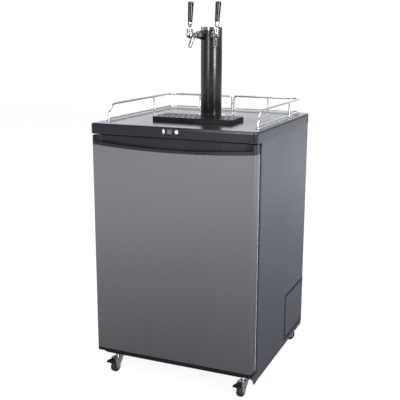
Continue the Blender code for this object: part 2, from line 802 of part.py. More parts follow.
def kick_plate(material):
    """The strip under the door, which stops short of the lower hinge."""
    right = HINGE_X + HINGE_FROM_EDGE - HINGE_WIDTH - SEAT_GAP
    low = CABINET_BOTTOM + KICK_RISE
    high = DOOR_BOTTOM - KICK_DROP
    back = CABINET_FRONT - SEAT_GAP
    outline = rounded(rectangle(back - KICK_DEPTH, back, low, high), [KICK_DEPTH / 3, 0, 0, KICK_DEPTH / 3])
    return named(prism(outline, "X", -CABINET_HALF, right), "kick_plate", material, (0, back, low))


def side_cover(side, name, material):
    outline = cover_outline(0, CABINET_BACK - SEAT_GAP)
    ends = sorted((side * (CABINET_HALF - COVER_WALL), side * CABINET_HALF))
    front = CABINET_BACK - COVER_DEPTH
    return named(prism(outline, "X", *ends), name, material, (ends[0], front, CABINET_BOTTOM + COVER_BOTTOM))


def inlet_place():
    x = -BAY_HALF + INLET_FROM_SIDE
    return (x, CABINET_BACK - REAR_COVER_SETBACK, PAN_TOP + INLET_FROM_PAN)


def rear_cover(material):
    """The vented panel that closes the machine bay, with the cord's way in at one corner."""
    half = BAY_HALF - SEAT_GAP
    rear = CABINET_BACK - REAR_COVER_SETBACK
    low = PAN_TOP + SEAT_GAP
    high = BAY_TOP - SEAT_GAP
    panel = prism(rectangle(-half, half, low, high), "Y", rear - REAR_COVER_WALL, rear)
    cutters = []
    for row in range(VENT_ROWS):
        z = high - VENT_PITCH * (row + 1)
        for column in range(VENT_COLUMNS):
            x = VENT_SPACING * (column - (VENT_COLUMNS - 1) / 2)
            slot = rectangle(x - VENT_LENGTH / 2, x + VENT_LENGTH / 2, z - VENT_HEIGHT, z)
            cutters.append(prism(slot, "Y", rear - REAR_COVER_WALL - OVERRUN, rear + OVERRUN))
    hole = rod(INLET_RADIUS + SEAT_GAP, -OVERRUN, REAR_COVER_WALL + OVERRUN, SMALL_STEPS)
    cutters.append(moved(hole, inlet_place(), ALONG_FRONT))
    return named(cut(panel, *cutters), "rear_cover", material, (0, rear, low))


def cord_inlet(material):
    """A flanged bush: the flange lies on the rear cover and the sleeve goes through it."""
    flange_back = -SEAT_GAP - INLET_FLANGE_WALL
    profile = [
        (INLET_BORE, flange_back),
        (INLET_FLANGE_RADIUS, flange_back),
        (INLET_FLANGE_RADIUS, -SEAT_GAP),
        (INLET_RADIUS, -SEAT_GAP),
        (INLET_RADIUS, INLET_DEPTH),
        (INLET_BORE, INLET_DEPTH),
    ]
    piece = moved(turned(profile, SMALL_STEPS, ring=True), inlet_place(), ALONG_FRONT)
    return named(piece, "cord_inlet", material, inlet_place())


def compressor(material):
    """A domed can on a plate with four feet that stand on the base pan."""
    y = (BAY_FRONT + CABINET_BACK - REAR_COVER_SETBACK) / 2
    foot_low = PAN_TOP + SEAT_GAP
    plate_low = foot_low + COMPRESSOR_FOOT_HEIGHT
    can_low = plate_low + COMPRESSOR_PLATE_WALL / 2
    shoulder = can_low + COMPRESSOR_HEIGHT - COMPRESSOR_DOME
    dome = []
    for step in range(CORNER_STEPS + 1):
        angle = math.pi / 2 * step / CORNER_STEPS
        dome.append((COMPRESSOR_RADIUS * math.cos(angle), shoulder + COMPRESSOR_DOME * math.sin(angle)))
    can = turned([(0, can_low), (COMPRESSOR_RADIUS, can_low), *dome[:-1], (0, dome[-1][1])], ROUND_STEPS)
    half = COMPRESSOR_PLATE_SIDE / 2
    outline = rounded(rectangle(-half, half, -half, half), COMPRESSOR_FOOT_RADIUS)
    plate = prism(outline, "Z", plate_low, plate_low + COMPRESSOR_PLATE_WALL)
    arm = half - COMPRESSOR_FOOT_RADIUS
    feet = []
    for x in (-arm, arm):
        for z_turn in (-arm, arm):
            foot = rod(COMPRESSOR_FOOT_RADIUS, foot_low, plate_low + COMPRESSOR_PLATE_WALL / 2, BAR_SIDES)
            feet.append(moved(foot, (x, z_turn, 0)))
    size = COMPRESSOR_BOX_SIZE
    box_corners = rectangle(-size / 2, size / 2, shoulder - 2 * size, shoulder - size)
    box_reach = COMPRESSOR_RADIUS + size / 3
    box = prism(rounded(box_corners, COMPRESSOR_PLATE_WALL), "X", 0, box_reach)
    piece = moved(fused(plate, can, box, *feet), (COMPRESSOR_X, y, 0))
    return named(piece, "compressor", material, (COMPRESSOR_X, y, foot_low))


def condenser_coil(material):
    """One tube that runs to and fro, clipped to two straps with turned-out feet."""
    y = CABINET_BACK - CONDENSER_FROM_BACK
    base = PAN_TOP + SEAT_GAP
    corners = []
    for run in range(CONDENSER_RUNS):
        ends = [CONDENSER_X - CONDENSER_LENGTH / 2, CONDENSER_X + CONDENSER_LENGTH / 2]
        if run % 2:
            ends.reverse()
        corners += [(x, y, base + CONDENSER_LIFT + run * CONDENSER_PITCH) for x in ends]
    bends = [CONDENSER_PITCH / 2.2] * (len(corners) - 2)
    tube = swept(bent_path(corners, bends, 3), CONDENSER_TUBE, 6)
    high = base + CONDENSER_LIFT + (CONDENSER_RUNS - 1) * CONDENSER_PITCH + STRAP_WIDTH
    strap_outline = [
        (y, base),
        (y + STRAP_FOOT, base),
        (y + STRAP_FOOT, base + STRAP_WALL),
        (y + STRAP_WALL, base + STRAP_WALL),
        (y + STRAP_WALL, high),
        (y, high),
    ]
    straps = []
    for side in (-1, 1):
        x = CONDENSER_X + side * CONDENSER_LENGTH / 4
        straps.append(prism(strap_outline, "X", x - STRAP_WIDTH / 2, x + STRAP_WIDTH / 2))
    return named(fused(tube, *straps), "condenser_coil", material, (CONDENSER_X, y, base))


def door_plan(inset, back):
    """The door seen from above, its two front edges rounded."""
    corners = rectangle(-DOOR_HALF + inset, DOOR_HALF - inset, DOOR_FRONT + inset, back)
    return rounded(corners, [DOOR_CORNER - inset, DOOR_CORNER - inset, 0, 0])


def arc_height(x, at_ends, sag):
    """The height at x of a shallow arc that hangs by its sag between the door's edges."""
    radius = (DOOR_HALF**2 + sag**2) / (2 * sag)
    return at_ends - sag + radius - math.sqrt(radius**2 - x**2)


def face_region(grow):
    """The area of the steel face: a sagging arc on top, rounded corners below."""
    half = DOOR_HALF + OVERRUN
    low = DOOR_BOTTOM + BOTTOM_CAP_HEIGHT - grow
    seam = DOOR_TOP - TOP_CAP_HEIGHT_AT_ENDS + grow
    outline = rounded([(-half, seam), (-half, low), (half, low), (half, seam)], [0, DOOR_FACE_CORNER, DOOR_FACE_CORNER, 0])
    for step in range(DOOR_ARC_STEPS + 1):
        x = DOOR_HALF * (1 - 2 * step / DOOR_ARC_STEPS)
        outline.append((x, arc_height(x, seam, TOP_CAP_SAG)))
    return prism(outline[1:-1 - DOOR_ARC_STEPS - 1] + outline[-DOOR_ARC_STEPS - 1:], "Y", DOOR_FRONT - OVERRUN, DOOR_BACK + OVERRUN)


def door_panel(material, joint):
    """The steel skin: flat in front, rolled round both edges and turned in at the back."""
    back = DOOR_BACK - DOOR_LINER_WALL - SEAT_GAP
    outer = door_plan(0, back)
    inner = door_plan(DOOR_SKIN_WALL, back - DOOR_SKIN_WALL)
    low = DOOR_BOTTOM + BOTTOM_CAP_HEIGHT / 2
    skin = prism(outer, "Z", low, DOOR_TOP)
    hollow = prism(inner, "Z", low - OVERRUN, DOOR_TOP + OVERRUN)
    reach = DOOR_HALF - DOOR_SKIN_RETURN
    mouth = prism(rectangle(-reach, reach, back - DOOR_THICKNESS / 2, back + OVERRUN), "Z", low - OVERRUN, DOOR_TOP + OVERRUN)
    piece = kept_inside(cut(skin, hollow, mouth), face_region(0))
    return on_joint(piece, "door_panel", material, joint)


def door_core(material, joint):
    """The insulation inside the skin."""
    back = DOOR_BACK - DOOR_LINER_WALL - DOOR_SKIN_WALL - 3 * SEAT_GAP
    outline = door_plan(DOOR_SKIN_WALL + SEAT_GAP, back)
    block = prism(outline, "Z", DOOR_BOTTOM + BOTTOM_CAP_HEIGHT / 2, DOOR_TOP)
    return on_joint(kept_inside(block, face_region(0)), "door_core", material, joint)


def door_liner(material, joint):
    """The inner door sheet, with a low wall that stands into the keg space."""
    sheet = prism(door_plan(0, DOOR_BACK), "Z", DOOR_BOTTOM + BOTTOM_CAP_HEIGHT / 2, DOOR_TOP)
    front = prism(
        rectangle(-DOOR_HALF - OVERRUN, DOOR_HALF + OVERRUN, DOOR_FRONT - OVERRUN, DOOR_BACK - DOOR_LINER_WALL),
        "Z",
        DOOR_BOTTOM,
        DOOR_TOP + OVERRUN,
    )
    sheet = kept_inside(cut(sheet, front), face_region(0))
    half = CAVITY_HALF - LINER_INSET - DIKE_INSET
    low = CAVITY_FLOOR + LINER_INSET + DIKE_INSET
    high = CAVITY_CEILING - LINER_INSET - 2 * DIKE_INSET
    wall = prism(
        rounded(rectangle(-half, half, low, high), DIKE_CORNER), "Y", DOOR_BACK - DOOR_LINER_WALL / 2, DOOR_BACK + DIKE_HEIGHT
    )
    inner_corners = rectangle(-half + DIKE_WALL, half - DIKE_WALL, low + DIKE_WALL, high - DIKE_WALL)
    inside = prism(
        rounded(inner_corners, DIKE_CORNER - DIKE_WALL), "Y", DOOR_BACK - DOOR_LINER_WALL, DOOR_BACK + DIKE_HEIGHT + OVERRUN
    )
    return on_joint(fused(sheet, cut(wall, inside)), "door_liner", material, joint)


def pin_hole(low, high):
    """The bore round a hinge pin."""
    return moved(rod(PIN_RADIUS + PIN_CLEARANCE, low, high, ROUND_STEPS), (HINGE_X, HINGE_Y, 0))


def scoop():
    """The finger scoop: stations across the door, each with a deeper groove behind the lip."""
    half = DOOR_HALF - SCOOP_END_WALL
    straight = half - SCOOP_END_RADIUS
    seam = DOOR_TOP - TOP_CAP_HEIGHT_AT_ENDS
    lip_sag = TOP_CAP_SAG - SCOOP_LIP_AT_CENTRE + SCOOP_LIP_AT_ENDS
    rings = []
    for station in range(SCOOP_STATIONS + 1):
        across = math.sin(math.pi * (station / SCOOP_STATIONS - 0.5))
        x = across * (straight + SCOOP_END_RADIUS * SCOOP_END_SHARE)
        into = max(0, (abs(x) - straight) / SCOOP_END_RADIUS)
        depth = SCOOP_LIP_WALL + (SCOOP_DEPTH - SCOOP_LIP_WALL) * math.sqrt(1 - into**2)
        lip = arc_height(x, seam + SCOOP_LIP_AT_ENDS, lip_sag)
        groove = lip - SCOOP_GROOVE * math.sqrt(1 - into**2)
        front = DOOR_FRONT + SCOOP_LIP_WALL
        back = DOOR_FRONT + depth
        rings.append(
            [
                (x, DOOR_FRONT - OVERRUN, DOOR_TOP + OVERRUN),
                (x, DOOR_FRONT - OVERRUN, lip),
                (x, front, lip),
                (x, (front + back) / 2, groove),
                (x, back, lip),
                (x, back, DOOR_TOP + OVERRUN),
            ]
        )
    return loft(rings)


def door_top_cap(material, joint):
    """The moulding along the door's top, with the scoop that serves as its handle."""
    low = DOOR_TOP - TOP_CAP_HEIGHT_AT_ENDS - TOP_CAP_REACH
    block = prism(door_plan(0, DOOR_BACK), "Z", low, DOOR_TOP)
    hole = pin_hole(DOOR_TOP - UPPER_PIN_LENGTH - PIN_CLEARANCE, DOOR_TOP + OVERRUN)
    piece = cut(block, face_region(CAP_SEAM), scoop(), hole)
    return on_joint(piece, "door_top_cap", material, joint)


def door_bottom_cap(material, joint):
    high = DOOR_BOTTOM + BOTTOM_CAP_HEIGHT + DOOR_FACE_CORNER / 2
    block = prism(door_plan(0, DOOR_BACK), "Z", DOOR_BOTTOM, high)
    hole = pin_hole(DOOR_BOTTOM - OVERRUN, high + OVERRUN)
    return on_joint(cut(block, face_region(CAP_SEAM), hole), "door_bottom_cap", material, joint)


def door_gasket(material, joint):
    """The magnetic seal: a frame between the door's back and the cabinet's face, with a bellows groove."""
    half = DOOR_HALF - GASKET_SIDE_INSET
    low = DOOR_BOTTOM + GASKET_END_INSET
    high = DOOR_TOP - GASKET_TOP_INSET
    back = CABINET_FRONT - SEAT_GAP
    front = DOOR_BACK + SEAT_GAP
    frame = prism(rounded(rectangle(-half, half, low, high), GASKET_CORNER), "Y", front, back)
    inner = rectangle(
        -half + GASKET_WIDTH, half - GASKET_WIDTH, low + GASKET_WIDTH, high - GASKET_WIDTH
    )
    middle = (front + back) / 2
    rings = []
    for inset, y in (
        (-OVERRUN, middle - GASKET_GROOVE / 2),
        (-OVERRUN, middle + GASKET_GROOVE / 2),
        (GASKET_GROOVE_DEPTH, middle + GASKET_GROOVE / 4),
        (GASKET_GROOVE_DEPTH, middle - GASKET_GROOVE / 4),
    ):
        corners = rectangle(-half + inset, half - inset, low + inset, high - inset)
        rings.append([(x, y, z) for x, z in rounded(corners, GASKET_CORNER - inset)])
    groove = loft(rings, closed=True)
    hollow = prism(inner, "Y", front - OVERRUN, back + OVERRUN)
    return on_joint(cut(frame, hollow, groove), "door_gasket", material, joint)


def hinge_nose(width_left, width_right, front):
    """The plan of a hinge plate, rounded at its front corners."""
    corners = rectangle(width_left, width_right, front, CABINET_FRONT - SEAT_GAP)
    return rounded(corners, [HINGE_NOSE / 2, HINGE_NOSE / 2, 0, 0])


def upper_hinge(material):
    """An angle on the cabinet's face whose flat end lies over the door and holds the pin."""
    right = HINGE_X + HINGE_FROM_EDGE - SEAT_GAP
    left = right - HINGE_WIDTH
    back = CABINET_FRONT - SEAT_GAP
    low = DOOR_TOP + (DOOR_TOP_GAP - HINGE_PLATE) / 2
    high = low + HINGE_PLATE
    plate = prism(hinge_nose(left, right, HINGE_Y - HINGE_NOSE), "Z", low, high)
    leg_outline = rectangle(left, right, high - HINGE_FLANGE_HEIGHT, high)
    leg = prism(leg_outline, "Y", back - HINGE_PLATE, back)
    pin = moved(rod(PIN_RADIUS, DOOR_TOP - UPPER_PIN_LENGTH, high - HINGE_PLATE / 2, ROUND_STEPS), (HINGE_X, HINGE_Y, 0))
    return named(fused(plate, leg, pin), "upper_hinge", material, (HINGE_X, HINGE_Y, high))


def lower_hinge(material):
    """A folded bracket: a plate under the door with its pin, a leg on the cabinet and a pointed side web."""
    right = HINGE_X + HINGE_FROM_EDGE - SEAT_GAP
    left = right - HINGE_WIDTH
    back = CABINET_FRONT - SEAT_GAP
    high = DOOR_BOTTOM - (DOOR_TOP_GAP - HINGE_PLATE) / 2
    low = high - HINGE_PLATE
    front = HINGE_Y - LOWER_HINGE_NOSE
    plate = prism(hinge_nose(left, right, front), "Z", low, high)
    leg = prism(rectangle(left, right, CABINET_BOTTOM, high), "Y", back - HINGE_PLATE, back)
    tip = high - LOWER_HINGE_DROP - HINGE_PLATE
    web_outline = [
        (front, high),
        (back, high),
        (back, CABINET_BOTTOM),
        (front + LOWER_HINGE_TIP_SETBACK, tip),
        (front, high - LOWER_HINGE_FRONT_DROP),
    ]
    web = prism(rounded(web_outline, [0, 0, 0, HINGE_PLATE, HINGE_PLATE]), "X", right - HINGE_PLATE, right)
    pin = moved(rod(PIN_RADIUS, high - HINGE_PLATE / 2, DOOR_BOTTOM + LOWER_PIN_LENGTH, ROUND_STEPS), (HINGE_X, HINGE_Y, 0))
    return named(fused(plate, leg, web, pin), "lower_hinge", material, (HINGE_X, HINGE_Y, low))


def lens_outline(width, height, steps):
    """Two arcs that meet in points at the top and bottom."""
    radius = (height**2 + width**2) / (4 * width)
    reach = math.asin(height / 2 / radius)
    outline = []
    for side in (1, -1):
        for step in range(steps):
            angle = -reach + 2 * reach * step / steps
            x = radius * math.cos(angle) - radius + width / 2
            outline.append((side * x, side * radius * math.sin(angle)))
    return outline


def scaled(outline, width_share, height_share, x, z):
    return [(x + a * width_share, z + b * height_share) for a, b in outline]


def arrow_outline(grow):
    share = 1 + 2 * grow / ARROW_WIDTH
    height_share = 1 + 2 * grow / ARROW_HEIGHT
    return scaled(lens_outline(ARROW_WIDTH, ARROW_HEIGHT, ARROW_STEPS), share, height_share, ARROW_X, PANEL_Z)


def display_outline(grow):
    half = DISPLAY_WIDTH / 2 + grow
    height = DISPLAY_HEIGHT / 2 + grow
    return rectangle(DISPLAY_X - half, DISPLAY_X + half, PANEL_Z - height, PANEL_Z + height)


def control_panel(material):
    """The strip flush with the worktop's front, with its window seat and both button holes."""
    half = PANEL_WIDTH / 2
    face = rounded(rectangle(-half, half, PANEL_TOP - PANEL_HEIGHT, PANEL_TOP), PANEL_CORNER - SEAT_GAP)
    panel = prism(face, "Y", PANEL_FRONT, PANEL_BACK)
    before = PANEL_FRONT - OVERRUN
    beyond = PANEL_BACK + OVERRUN
    counterbore = PANEL_BACK - BUTTON_FLANGE_WALL - SEAT_GAP
    window = prism(display_outline(SEAT_GAP), "Y", before, PANEL_FRONT + DISPLAY_WALL + SEAT_GAP)
    arrow_hole = prism(arrow_outline(BUTTON_GAP), "Y", before, beyond)
    arrow_step = prism(arrow_outline(BUTTON_GAP + BUTTON_FLANGE), "Y", counterbore - ROCKER_ROOM, beyond)
    place = (POWER_X, PANEL_FRONT, PANEL_Z)
    power_hole = moved(rod(POWER_RADIUS + BUTTON_GAP, -PANEL_WALL - OVERRUN, OVERRUN, ROUND_STEPS), place, ALONG_FRONT)
    step_radius = POWER_RADIUS + BUTTON_GAP + BUTTON_FLANGE
    step_front = PANEL_FRONT - counterbore
    power_step = moved(rod(step_radius, -PANEL_WALL - OVERRUN, step_front, ROUND_STEPS), place, ALONG_FRONT)
    piece = cut(panel, window, arrow_hole, arrow_step, power_hole, power_step)
    return named(piece, "control_panel", material, (0, PANEL_FRONT, PANEL_Z))


def display_window(material):
    piece = prism(display_outline(0), "Y", PANEL_FRONT, PANEL_FRONT + DISPLAY_WALL)
    return named(piece, "display_window", material, (DISPLAY_X, PANEL_FRONT, PANEL_Z))


def button_levels():
    """Front face, step and back of a button, whose flange is caught behind the panel."""
    return PANEL_FRONT - BUTTON_PROUD, PANEL_BACK - BUTTON_FLANGE_WALL, PANEL_BACK


def arrow_button(material, joint):
    front, step, back = button_levels()
    cap = prism(arrow_outline(0), "Y", front, step + SEAT_GAP)
    flange = prism(arrow_outline(BUTTON_FLANGE), "Y", step, back)
    return on_joint(fused(cap, flange), "arrow_button", material, joint)


def power_button(material, joint):
    front, step, back = button_levels()
    flange_radius = POWER_RADIUS + BUTTON_FLANGE
    profile = [
        (0, back),
        (flange_radius, back),
        (flange_radius, step),
        (POWER_RADIUS, step),
        (POWER_RADIUS, front + BUTTON_PROUD / 2),
        (POWER_RADIUS - BUTTON_PROUD / 2, front),
        (0, front),
    ]
    profile = [(radius, -level) for radius, level in profile]
    piece = moved(turned(profile, ROUND_STEPS), (POWER_X, 0, PANEL_Z), ALONG_FRONT)
    return on_joint(piece, "power_button", material, joint)


def guard_rail(side, name, material):
    """One half: a top tube bent down at both ends, a low rod, two thin posts and round feet."""
    x = side * (WORKTOP_WIDTH / 2 - RAIL_SIDE_INSET)
    back = WORKTOP_BACK - RAIL_BACK_INSET
    front = WORKTOP_FRONT + RAIL_FRONT_INSET
    end = side * RAIL_SPLIT / 2
    low = WORKTOP_TOP + SEAT_GAP
    high = low + RAIL_HEIGHT - RAIL_RADIUS
    foot_top = low + RAIL_FOOT_HEIGHT
    start = low + RAIL_FOOT_HEIGHT / 2
    top_corners = [(x, front, start), (x, front, high), (x, back, high), (end, back, high), (end, back, start)]
    top = swept(bent_path(top_corners, [RAIL_FRONT_BEND, RAIL_CORNER, RAIL_END_BEND]), RAIL_RADIUS)
    rod_level = low + RAIL_ROD_LIFT
    rod_corners = [(x, front, rod_level), (x, back, rod_level), (end, back, rod_level)]
    low_rod = swept(bent_path(rod_corners, [RAIL_CORNER]), RAIL_ROD_RADIUS, turn_share=0.5)
    pieces = [low_rod]
    for place in ((x, back - RAIL_SIDE_POST_FROM_BACK), (side * RAIL_BACK_POST_X, back)):
        profile = [
            (0, low),
            (RAIL_POST_FOOT_RADIUS, low),
            (RAIL_POST_FOOT_RADIUS, foot_top),
            (RAIL_POST_RADIUS, foot_top),
            (RAIL_POST_RADIUS, high),
            (0, high),
        ]
        turn = Matrix.Rotation(math.pi / BAR_SIDES / 3, 4, "Z")
        pieces.append(moved(turned(profile, BAR_SIDES), (*place, 0), turn))
    pieces.append(moved(rod(RAIL_FOOT_RADIUS, low, foot_top, SMALL_STEPS), (x, front, 0)))
    pieces.append(moved(rod(RAIL_SPLIT / 2 - SEAT_GAP, low, foot_top, SMALL_STEPS), (end, back, 0)))
    return named(fused(top, *pieces), name, material, (x, back, low))


def tower_flange(material):
    """The flat ring at the tower's foot."""
    bore = TOWER_RADIUS + SEAT_GAP
    profile = [
        (bore, 0),
        (FLANGE_RADIUS, 0),
        (FLANGE_RADIUS, FLANGE_HEIGHT - FLANGE_EDGE),
        (FLANGE_RADIUS - FLANGE_EDGE, FLANGE_HEIGHT),
        (bore, FLANGE_HEIGHT),
    ]
    place = (0, TOWER_Y, COLUMN_BOTTOM)
    return named(moved(turned(profile, FINE_STEPS, ring=True), place), "tower_flange", material, place)


def faucet_turn(side):
    return Matrix.Rotation(side * FAUCET_ANGLE, 4, "Z")


def tower_column(material):
    """The upright tube with a hole for each shank."""
    inner = TOWER_RADIUS - TOWER_WALL
    profile = [(inner, 0), (TOWER_RADIUS, 0), (TOWER_RADIUS, TOWER_HEIGHT), (inner, TOWER_HEIGHT)]
    tube = turned(profile, FINE_STEPS, ring=True)
    holes = []
    for side in (-1, 1):
        hole = rod(SHANK_RADIUS + SEAT_GAP, TOWER_RADIUS / 2, TOWER_RADIUS + OVERRUN, ROUND_STEPS)
        holes.append(moved(hole, (0, 0, FAUCET_HEIGHT), faucet_turn(side) @ ALONG_FRONT))
    place = (0, TOWER_Y, COLUMN_BOTTOM)
    return named(moved(cut(tube, *holes), place), "tower_column", material, place)


def tower_cap(material, joint):
    """The lift-off top: a disc with a short plug that locates inside the column."""
    low = COLUMN_TOP + SEAT_GAP
    high = low + TOWER_CAP_HEIGHT
    plug_radius = TOWER_RADIUS - TOWER_WALL - RUNNING_GAP
    plug_inner = plug_radius - TOWER_PLUG_WALL
    profile = [
        (0, high - TOWER_CAP_TOP_WALL),
        (plug_inner, high - TOWER_CAP_TOP_WALL),
        (plug_inner, low - TOWER_PLUG_HEIGHT),
        (plug_radius, low - TOWER_PLUG_HEIGHT),
        (plug_radius, low),
        (TOWER_RADIUS, low),
        (TOWER_RADIUS, high - TOWER_CAP_EDGE),
        (TOWER_RADIUS - TOWER_CAP_EDGE, high),
        (0, high),
    ]
    return on_joint(moved(turned(profile, FINE_STEPS), (0, TOWER_Y, 0)), "tower_cap", material, joint)


def shank_collar(material, joint):
    """The black rosette, its back hollowed to lie on the round column."""
    front = TOWER_RADIUS + COLLAR_REACH
    profile = [
        (SHANK_RADIUS + SEAT_GAP, TOWER_RADIUS / 2),
        (COLLAR_RADIUS, TOWER_RADIUS / 2),
        (COLLAR_RADIUS, front - COLLAR_EDGE),
        (COLLAR_RADIUS - COLLAR_EDGE, front),
        (SHANK_RADIUS + SEAT_GAP, front),
    ]
    ring = moved(turned(profile, ROUND_STEPS, ring=True), turn=ALONG_FRONT)
    column = rod(TOWER_RADIUS + SEAT_GAP, -TOWER_RADIUS, TOWER_RADIUS, FINE_STEPS)
    return named(cut(ring, column), "left_collar", material, joint=joint)


def shank(material, joint):
    """The threaded tube through the column, with the nut that pulls it tight from inside."""
    profile = [
        (SHANK_BORE, SHANK_START),
        (SHANK_RADIUS, SHANK_START),
        (SHANK_RADIUS, SHANK_NUT_START),
        (SHANK_NUT_RADIUS, SHANK_NUT_START),
        (SHANK_NUT_RADIUS, SHANK_NUT_START + SHANK_NUT_WALL),
        (SHANK_RADIUS, SHANK_NUT_START + SHANK_NUT_WALL),
        (SHANK_RADIUS, SHANK_REACH),
        (SHANK_BORE, SHANK_REACH),
    ]
    return named(moved(turned(profile, ROUND_STEPS, ring=True), turn=ALONG_FRONT), "left_shank", material, joint=joint)


def coupling_nut(material, joint):
    """The notched ring that draws the faucet onto its shank."""
    start = TOWER_RADIUS + COLLAR_REACH + SEAT_GAP
    end = start + COUPLING_LENGTH
    bore = SHANK_RADIUS + SEAT_GAP
    profile = [
        (bore, start),
        (COUPLING_RADIUS - COUPLING_EDGE, start),
        (COUPLING_RADIUS, start + COUPLING_EDGE),
        (COUPLING_RADIUS, end - COUPLING_EDGE),
        (COUPLING_RADIUS - COUPLING_EDGE, end),
        (bore, end),
    ]
    ring = moved(turned(profile, ROUND_STEPS, ring=True), turn=ALONG_FRONT)
    notches = []
    for index in range(COUPLING_NOTCHES):
        turn = Matrix.Rotation(2 * math.pi * index / COUPLING_NOTCHES, 4, "Y")
        width = COUPLING_EDGE
        corners = rectangle(-width, width, -start - COUPLING_LENGTH / 2, -start + OVERRUN)
        notch = prism(corners, "Z", COUPLING_RADIUS - COUPLING_EDGE / 2, COUPLING_RADIUS + OVERRUN)
        notches.append(moved(notch, turn=turn))
    return named(cut(ring, *notches), "left_coupling_nut", material, joint=joint)


def faucet_body(material, joint):
    """Barrel, head with its open cup for the lever's ball, and the slanted spout with its bore."""
    start = SHANK_REACH + SEAT_GAP
    nose = FAUCET_REACH + BARREL_NOSE
    barrel = turned(
        [
            (0, start),
            (BARREL_RADIUS, start),
            (BARREL_RADIUS, nose - BARREL_RADIUS / 2),
            (BARREL_RADIUS / 2, nose),
            (0, nose),
        ],
        SMALL_STEPS,
    )
    moved(barrel, turn=ALONG_FRONT)
    head_low = -FAUCET_HEAD_DROP
    head = turned(
        [
            (0, head_low - BARREL_RADIUS / 2),
            (BARREL_RADIUS, head_low),
            (FAUCET_HEAD_RADIUS, head_low / 2),
            (FAUCET_HEAD_RADIUS, BONNET_NECK_HEIGHT / 2),
            (BONNET_NECK_RADIUS, BONNET_NECK_HEIGHT),
            (BONNET_RADIUS, BONNET_NECK_HEIGHT + BONNET_WALL),
            (BONNET_RADIUS, BONNET_TOP - BONNET_WALL / 2),
            (BONNET_RADIUS - BONNET_WALL / 2, BONNET_TOP),
            (0, BONNET_TOP),
        ],
        ROUND_STEPS,
    )
    moved(head, (0, -FAUCET_REACH, 0))
    cup_radius = BONNET_RADIUS - BONNET_WALL
    cup_low = BONNET_TOP - BONNET_CUP_DEPTH
    cup = turned(
        [
            (0, cup_low),
            (cup_radius - BONNET_WALL, cup_low),
            (cup_radius, cup_low + BONNET_WALL * 2),
            (cup_radius, BONNET_TOP + OVERRUN),
            (0, BONNET_TOP + OVERRUN),
        ],
        ROUND_STEPS,
    )
    moved(cup, (0, -FAUCET_REACH, 0))
    lean = Matrix.Rotation(-SPOUT_TILT, 4, "X")
    root = (0, -FAUCET_REACH + SPOUT_ROOT_SETBACK, 0)
    spout = turned(
        [(0, -SPOUT_LENGTH), (SPOUT_TIP_RADIUS, -SPOUT_LENGTH), (SPOUT_TOP_RADIUS, 0), (0, 0)], SMALL_STEPS
    )
    moved(spout, root, lean)
    bore = moved(rod(SPOUT_BORE, -SPOUT_LENGTH - OVERRUN, -SPOUT_LENGTH / 2, SMALL_STEPS), root, lean)
    piece = cut(fused(barrel, head, spout), cup, bore)
    return named(piece, "left_faucet", material, joint=joint)


def lever(material, joint):
    """The ball in the bonnet, its neck and the ferrule, all on the tilting joint."""
    ball = []
    for step in range(1, CORNER_STEPS + 2):
        angle = math.pi * (step / (CORNER_STEPS + 2) - 0.5)
        ball.append((LEVER_BALL * math.cos(angle), LEVER_BALL * math.sin(angle)))
    ferrule = LEVER_NECK_LENGTH
    profile = [
        (0, -LEVER_BALL),
        *ball,
        (LEVER_NECK_RADIUS, LEVER_BALL),
        (LEVER_NECK_RADIUS, ferrule),
        (FERRULE_TIP_RADIUS, ferrule),
        (FERRULE_RADIUS, ferrule + FERRULE_HEIGHT),
        (HANDLE_STUD_RADIUS, ferrule + FERRULE_HEIGHT),
        (HANDLE_STUD_RADIUS, ferrule + FERRULE_HEIGHT + HANDLE_STUD_LENGTH),
        (0, ferrule + FERRULE_HEIGHT + HANDLE_STUD_LENGTH),
    ]
    return named(turned(profile, SMALL_STEPS), "left_lever", material, joint=joint)


def tap_handle(material, joint):
    """The tapered grip, bored for the lever's stud."""
    low = LEVER_NECK_LENGTH + FERRULE_HEIGHT + SEAT_GAP
    high = low + HANDLE_HEIGHT
    bore = HANDLE_STUD_RADIUS + SEAT_GAP
    bore_top = low + HANDLE_STUD_LENGTH
    profile = [
        (0, bore_top),
        (bore, bore_top),
        (bore, low),
        (HANDLE_FOOT_RADIUS, low),
        (HANDLE_TOP_RADIUS, high - HANDLE_EDGE),
        (HANDLE_TOP_RADIUS - HANDLE_EDGE, high),
        (0, high),
    ]
    return named(turned(profile, ROUND_STEPS), "left_handle", material, joint=joint)


def tray_edges():
    """Front and back of the tray, which stands before the tower's flange."""
    back = TOWER_Y - TRAY_FROM_TOWER
    return back - TRAY_DEPTH, back


def tray_outline(inset):
    """The tray's plan outline, drawn in by the inset."""
    front, back = tray_edges()
    half = TRAY_WIDTH / 2 - inset
    return rounded(rectangle(TRAY_X - half, TRAY_X + half, front + inset, back - inset), TRAY_CORNER - inset)


def drip_tray(material, joint):
    """The basin's wall all round, with a ledge that carries the grille."""
    low = WORKTOP_TOP + SEAT_GAP
    high = low + TRAY_HEIGHT
    block = prism(tray_outline(0), "Z", low, high)
    rebate = prism(tray_outline(TRAY_WALL - TRAY_REBATE), "Z", high - GRILLE_WALL - SEAT_GAP, high + OVERRUN)
    basin = prism(tray_outline(TRAY_WALL), "Z", low - OVERRUN, high)
    return on_joint(cut(block, rebate, basin), "drip_tray", material, joint)


def drip_tray_floor(material, joint):
    """The basin's floor, within its wall."""
    low = WORKTOP_TOP + SEAT_GAP
    plate = prism(tray_outline(TRAY_WALL + SEAT_GAP), "Z", low, low + TRAY_FLOOR)
    return on_joint(plate, "drip_tray_floor", material, joint)


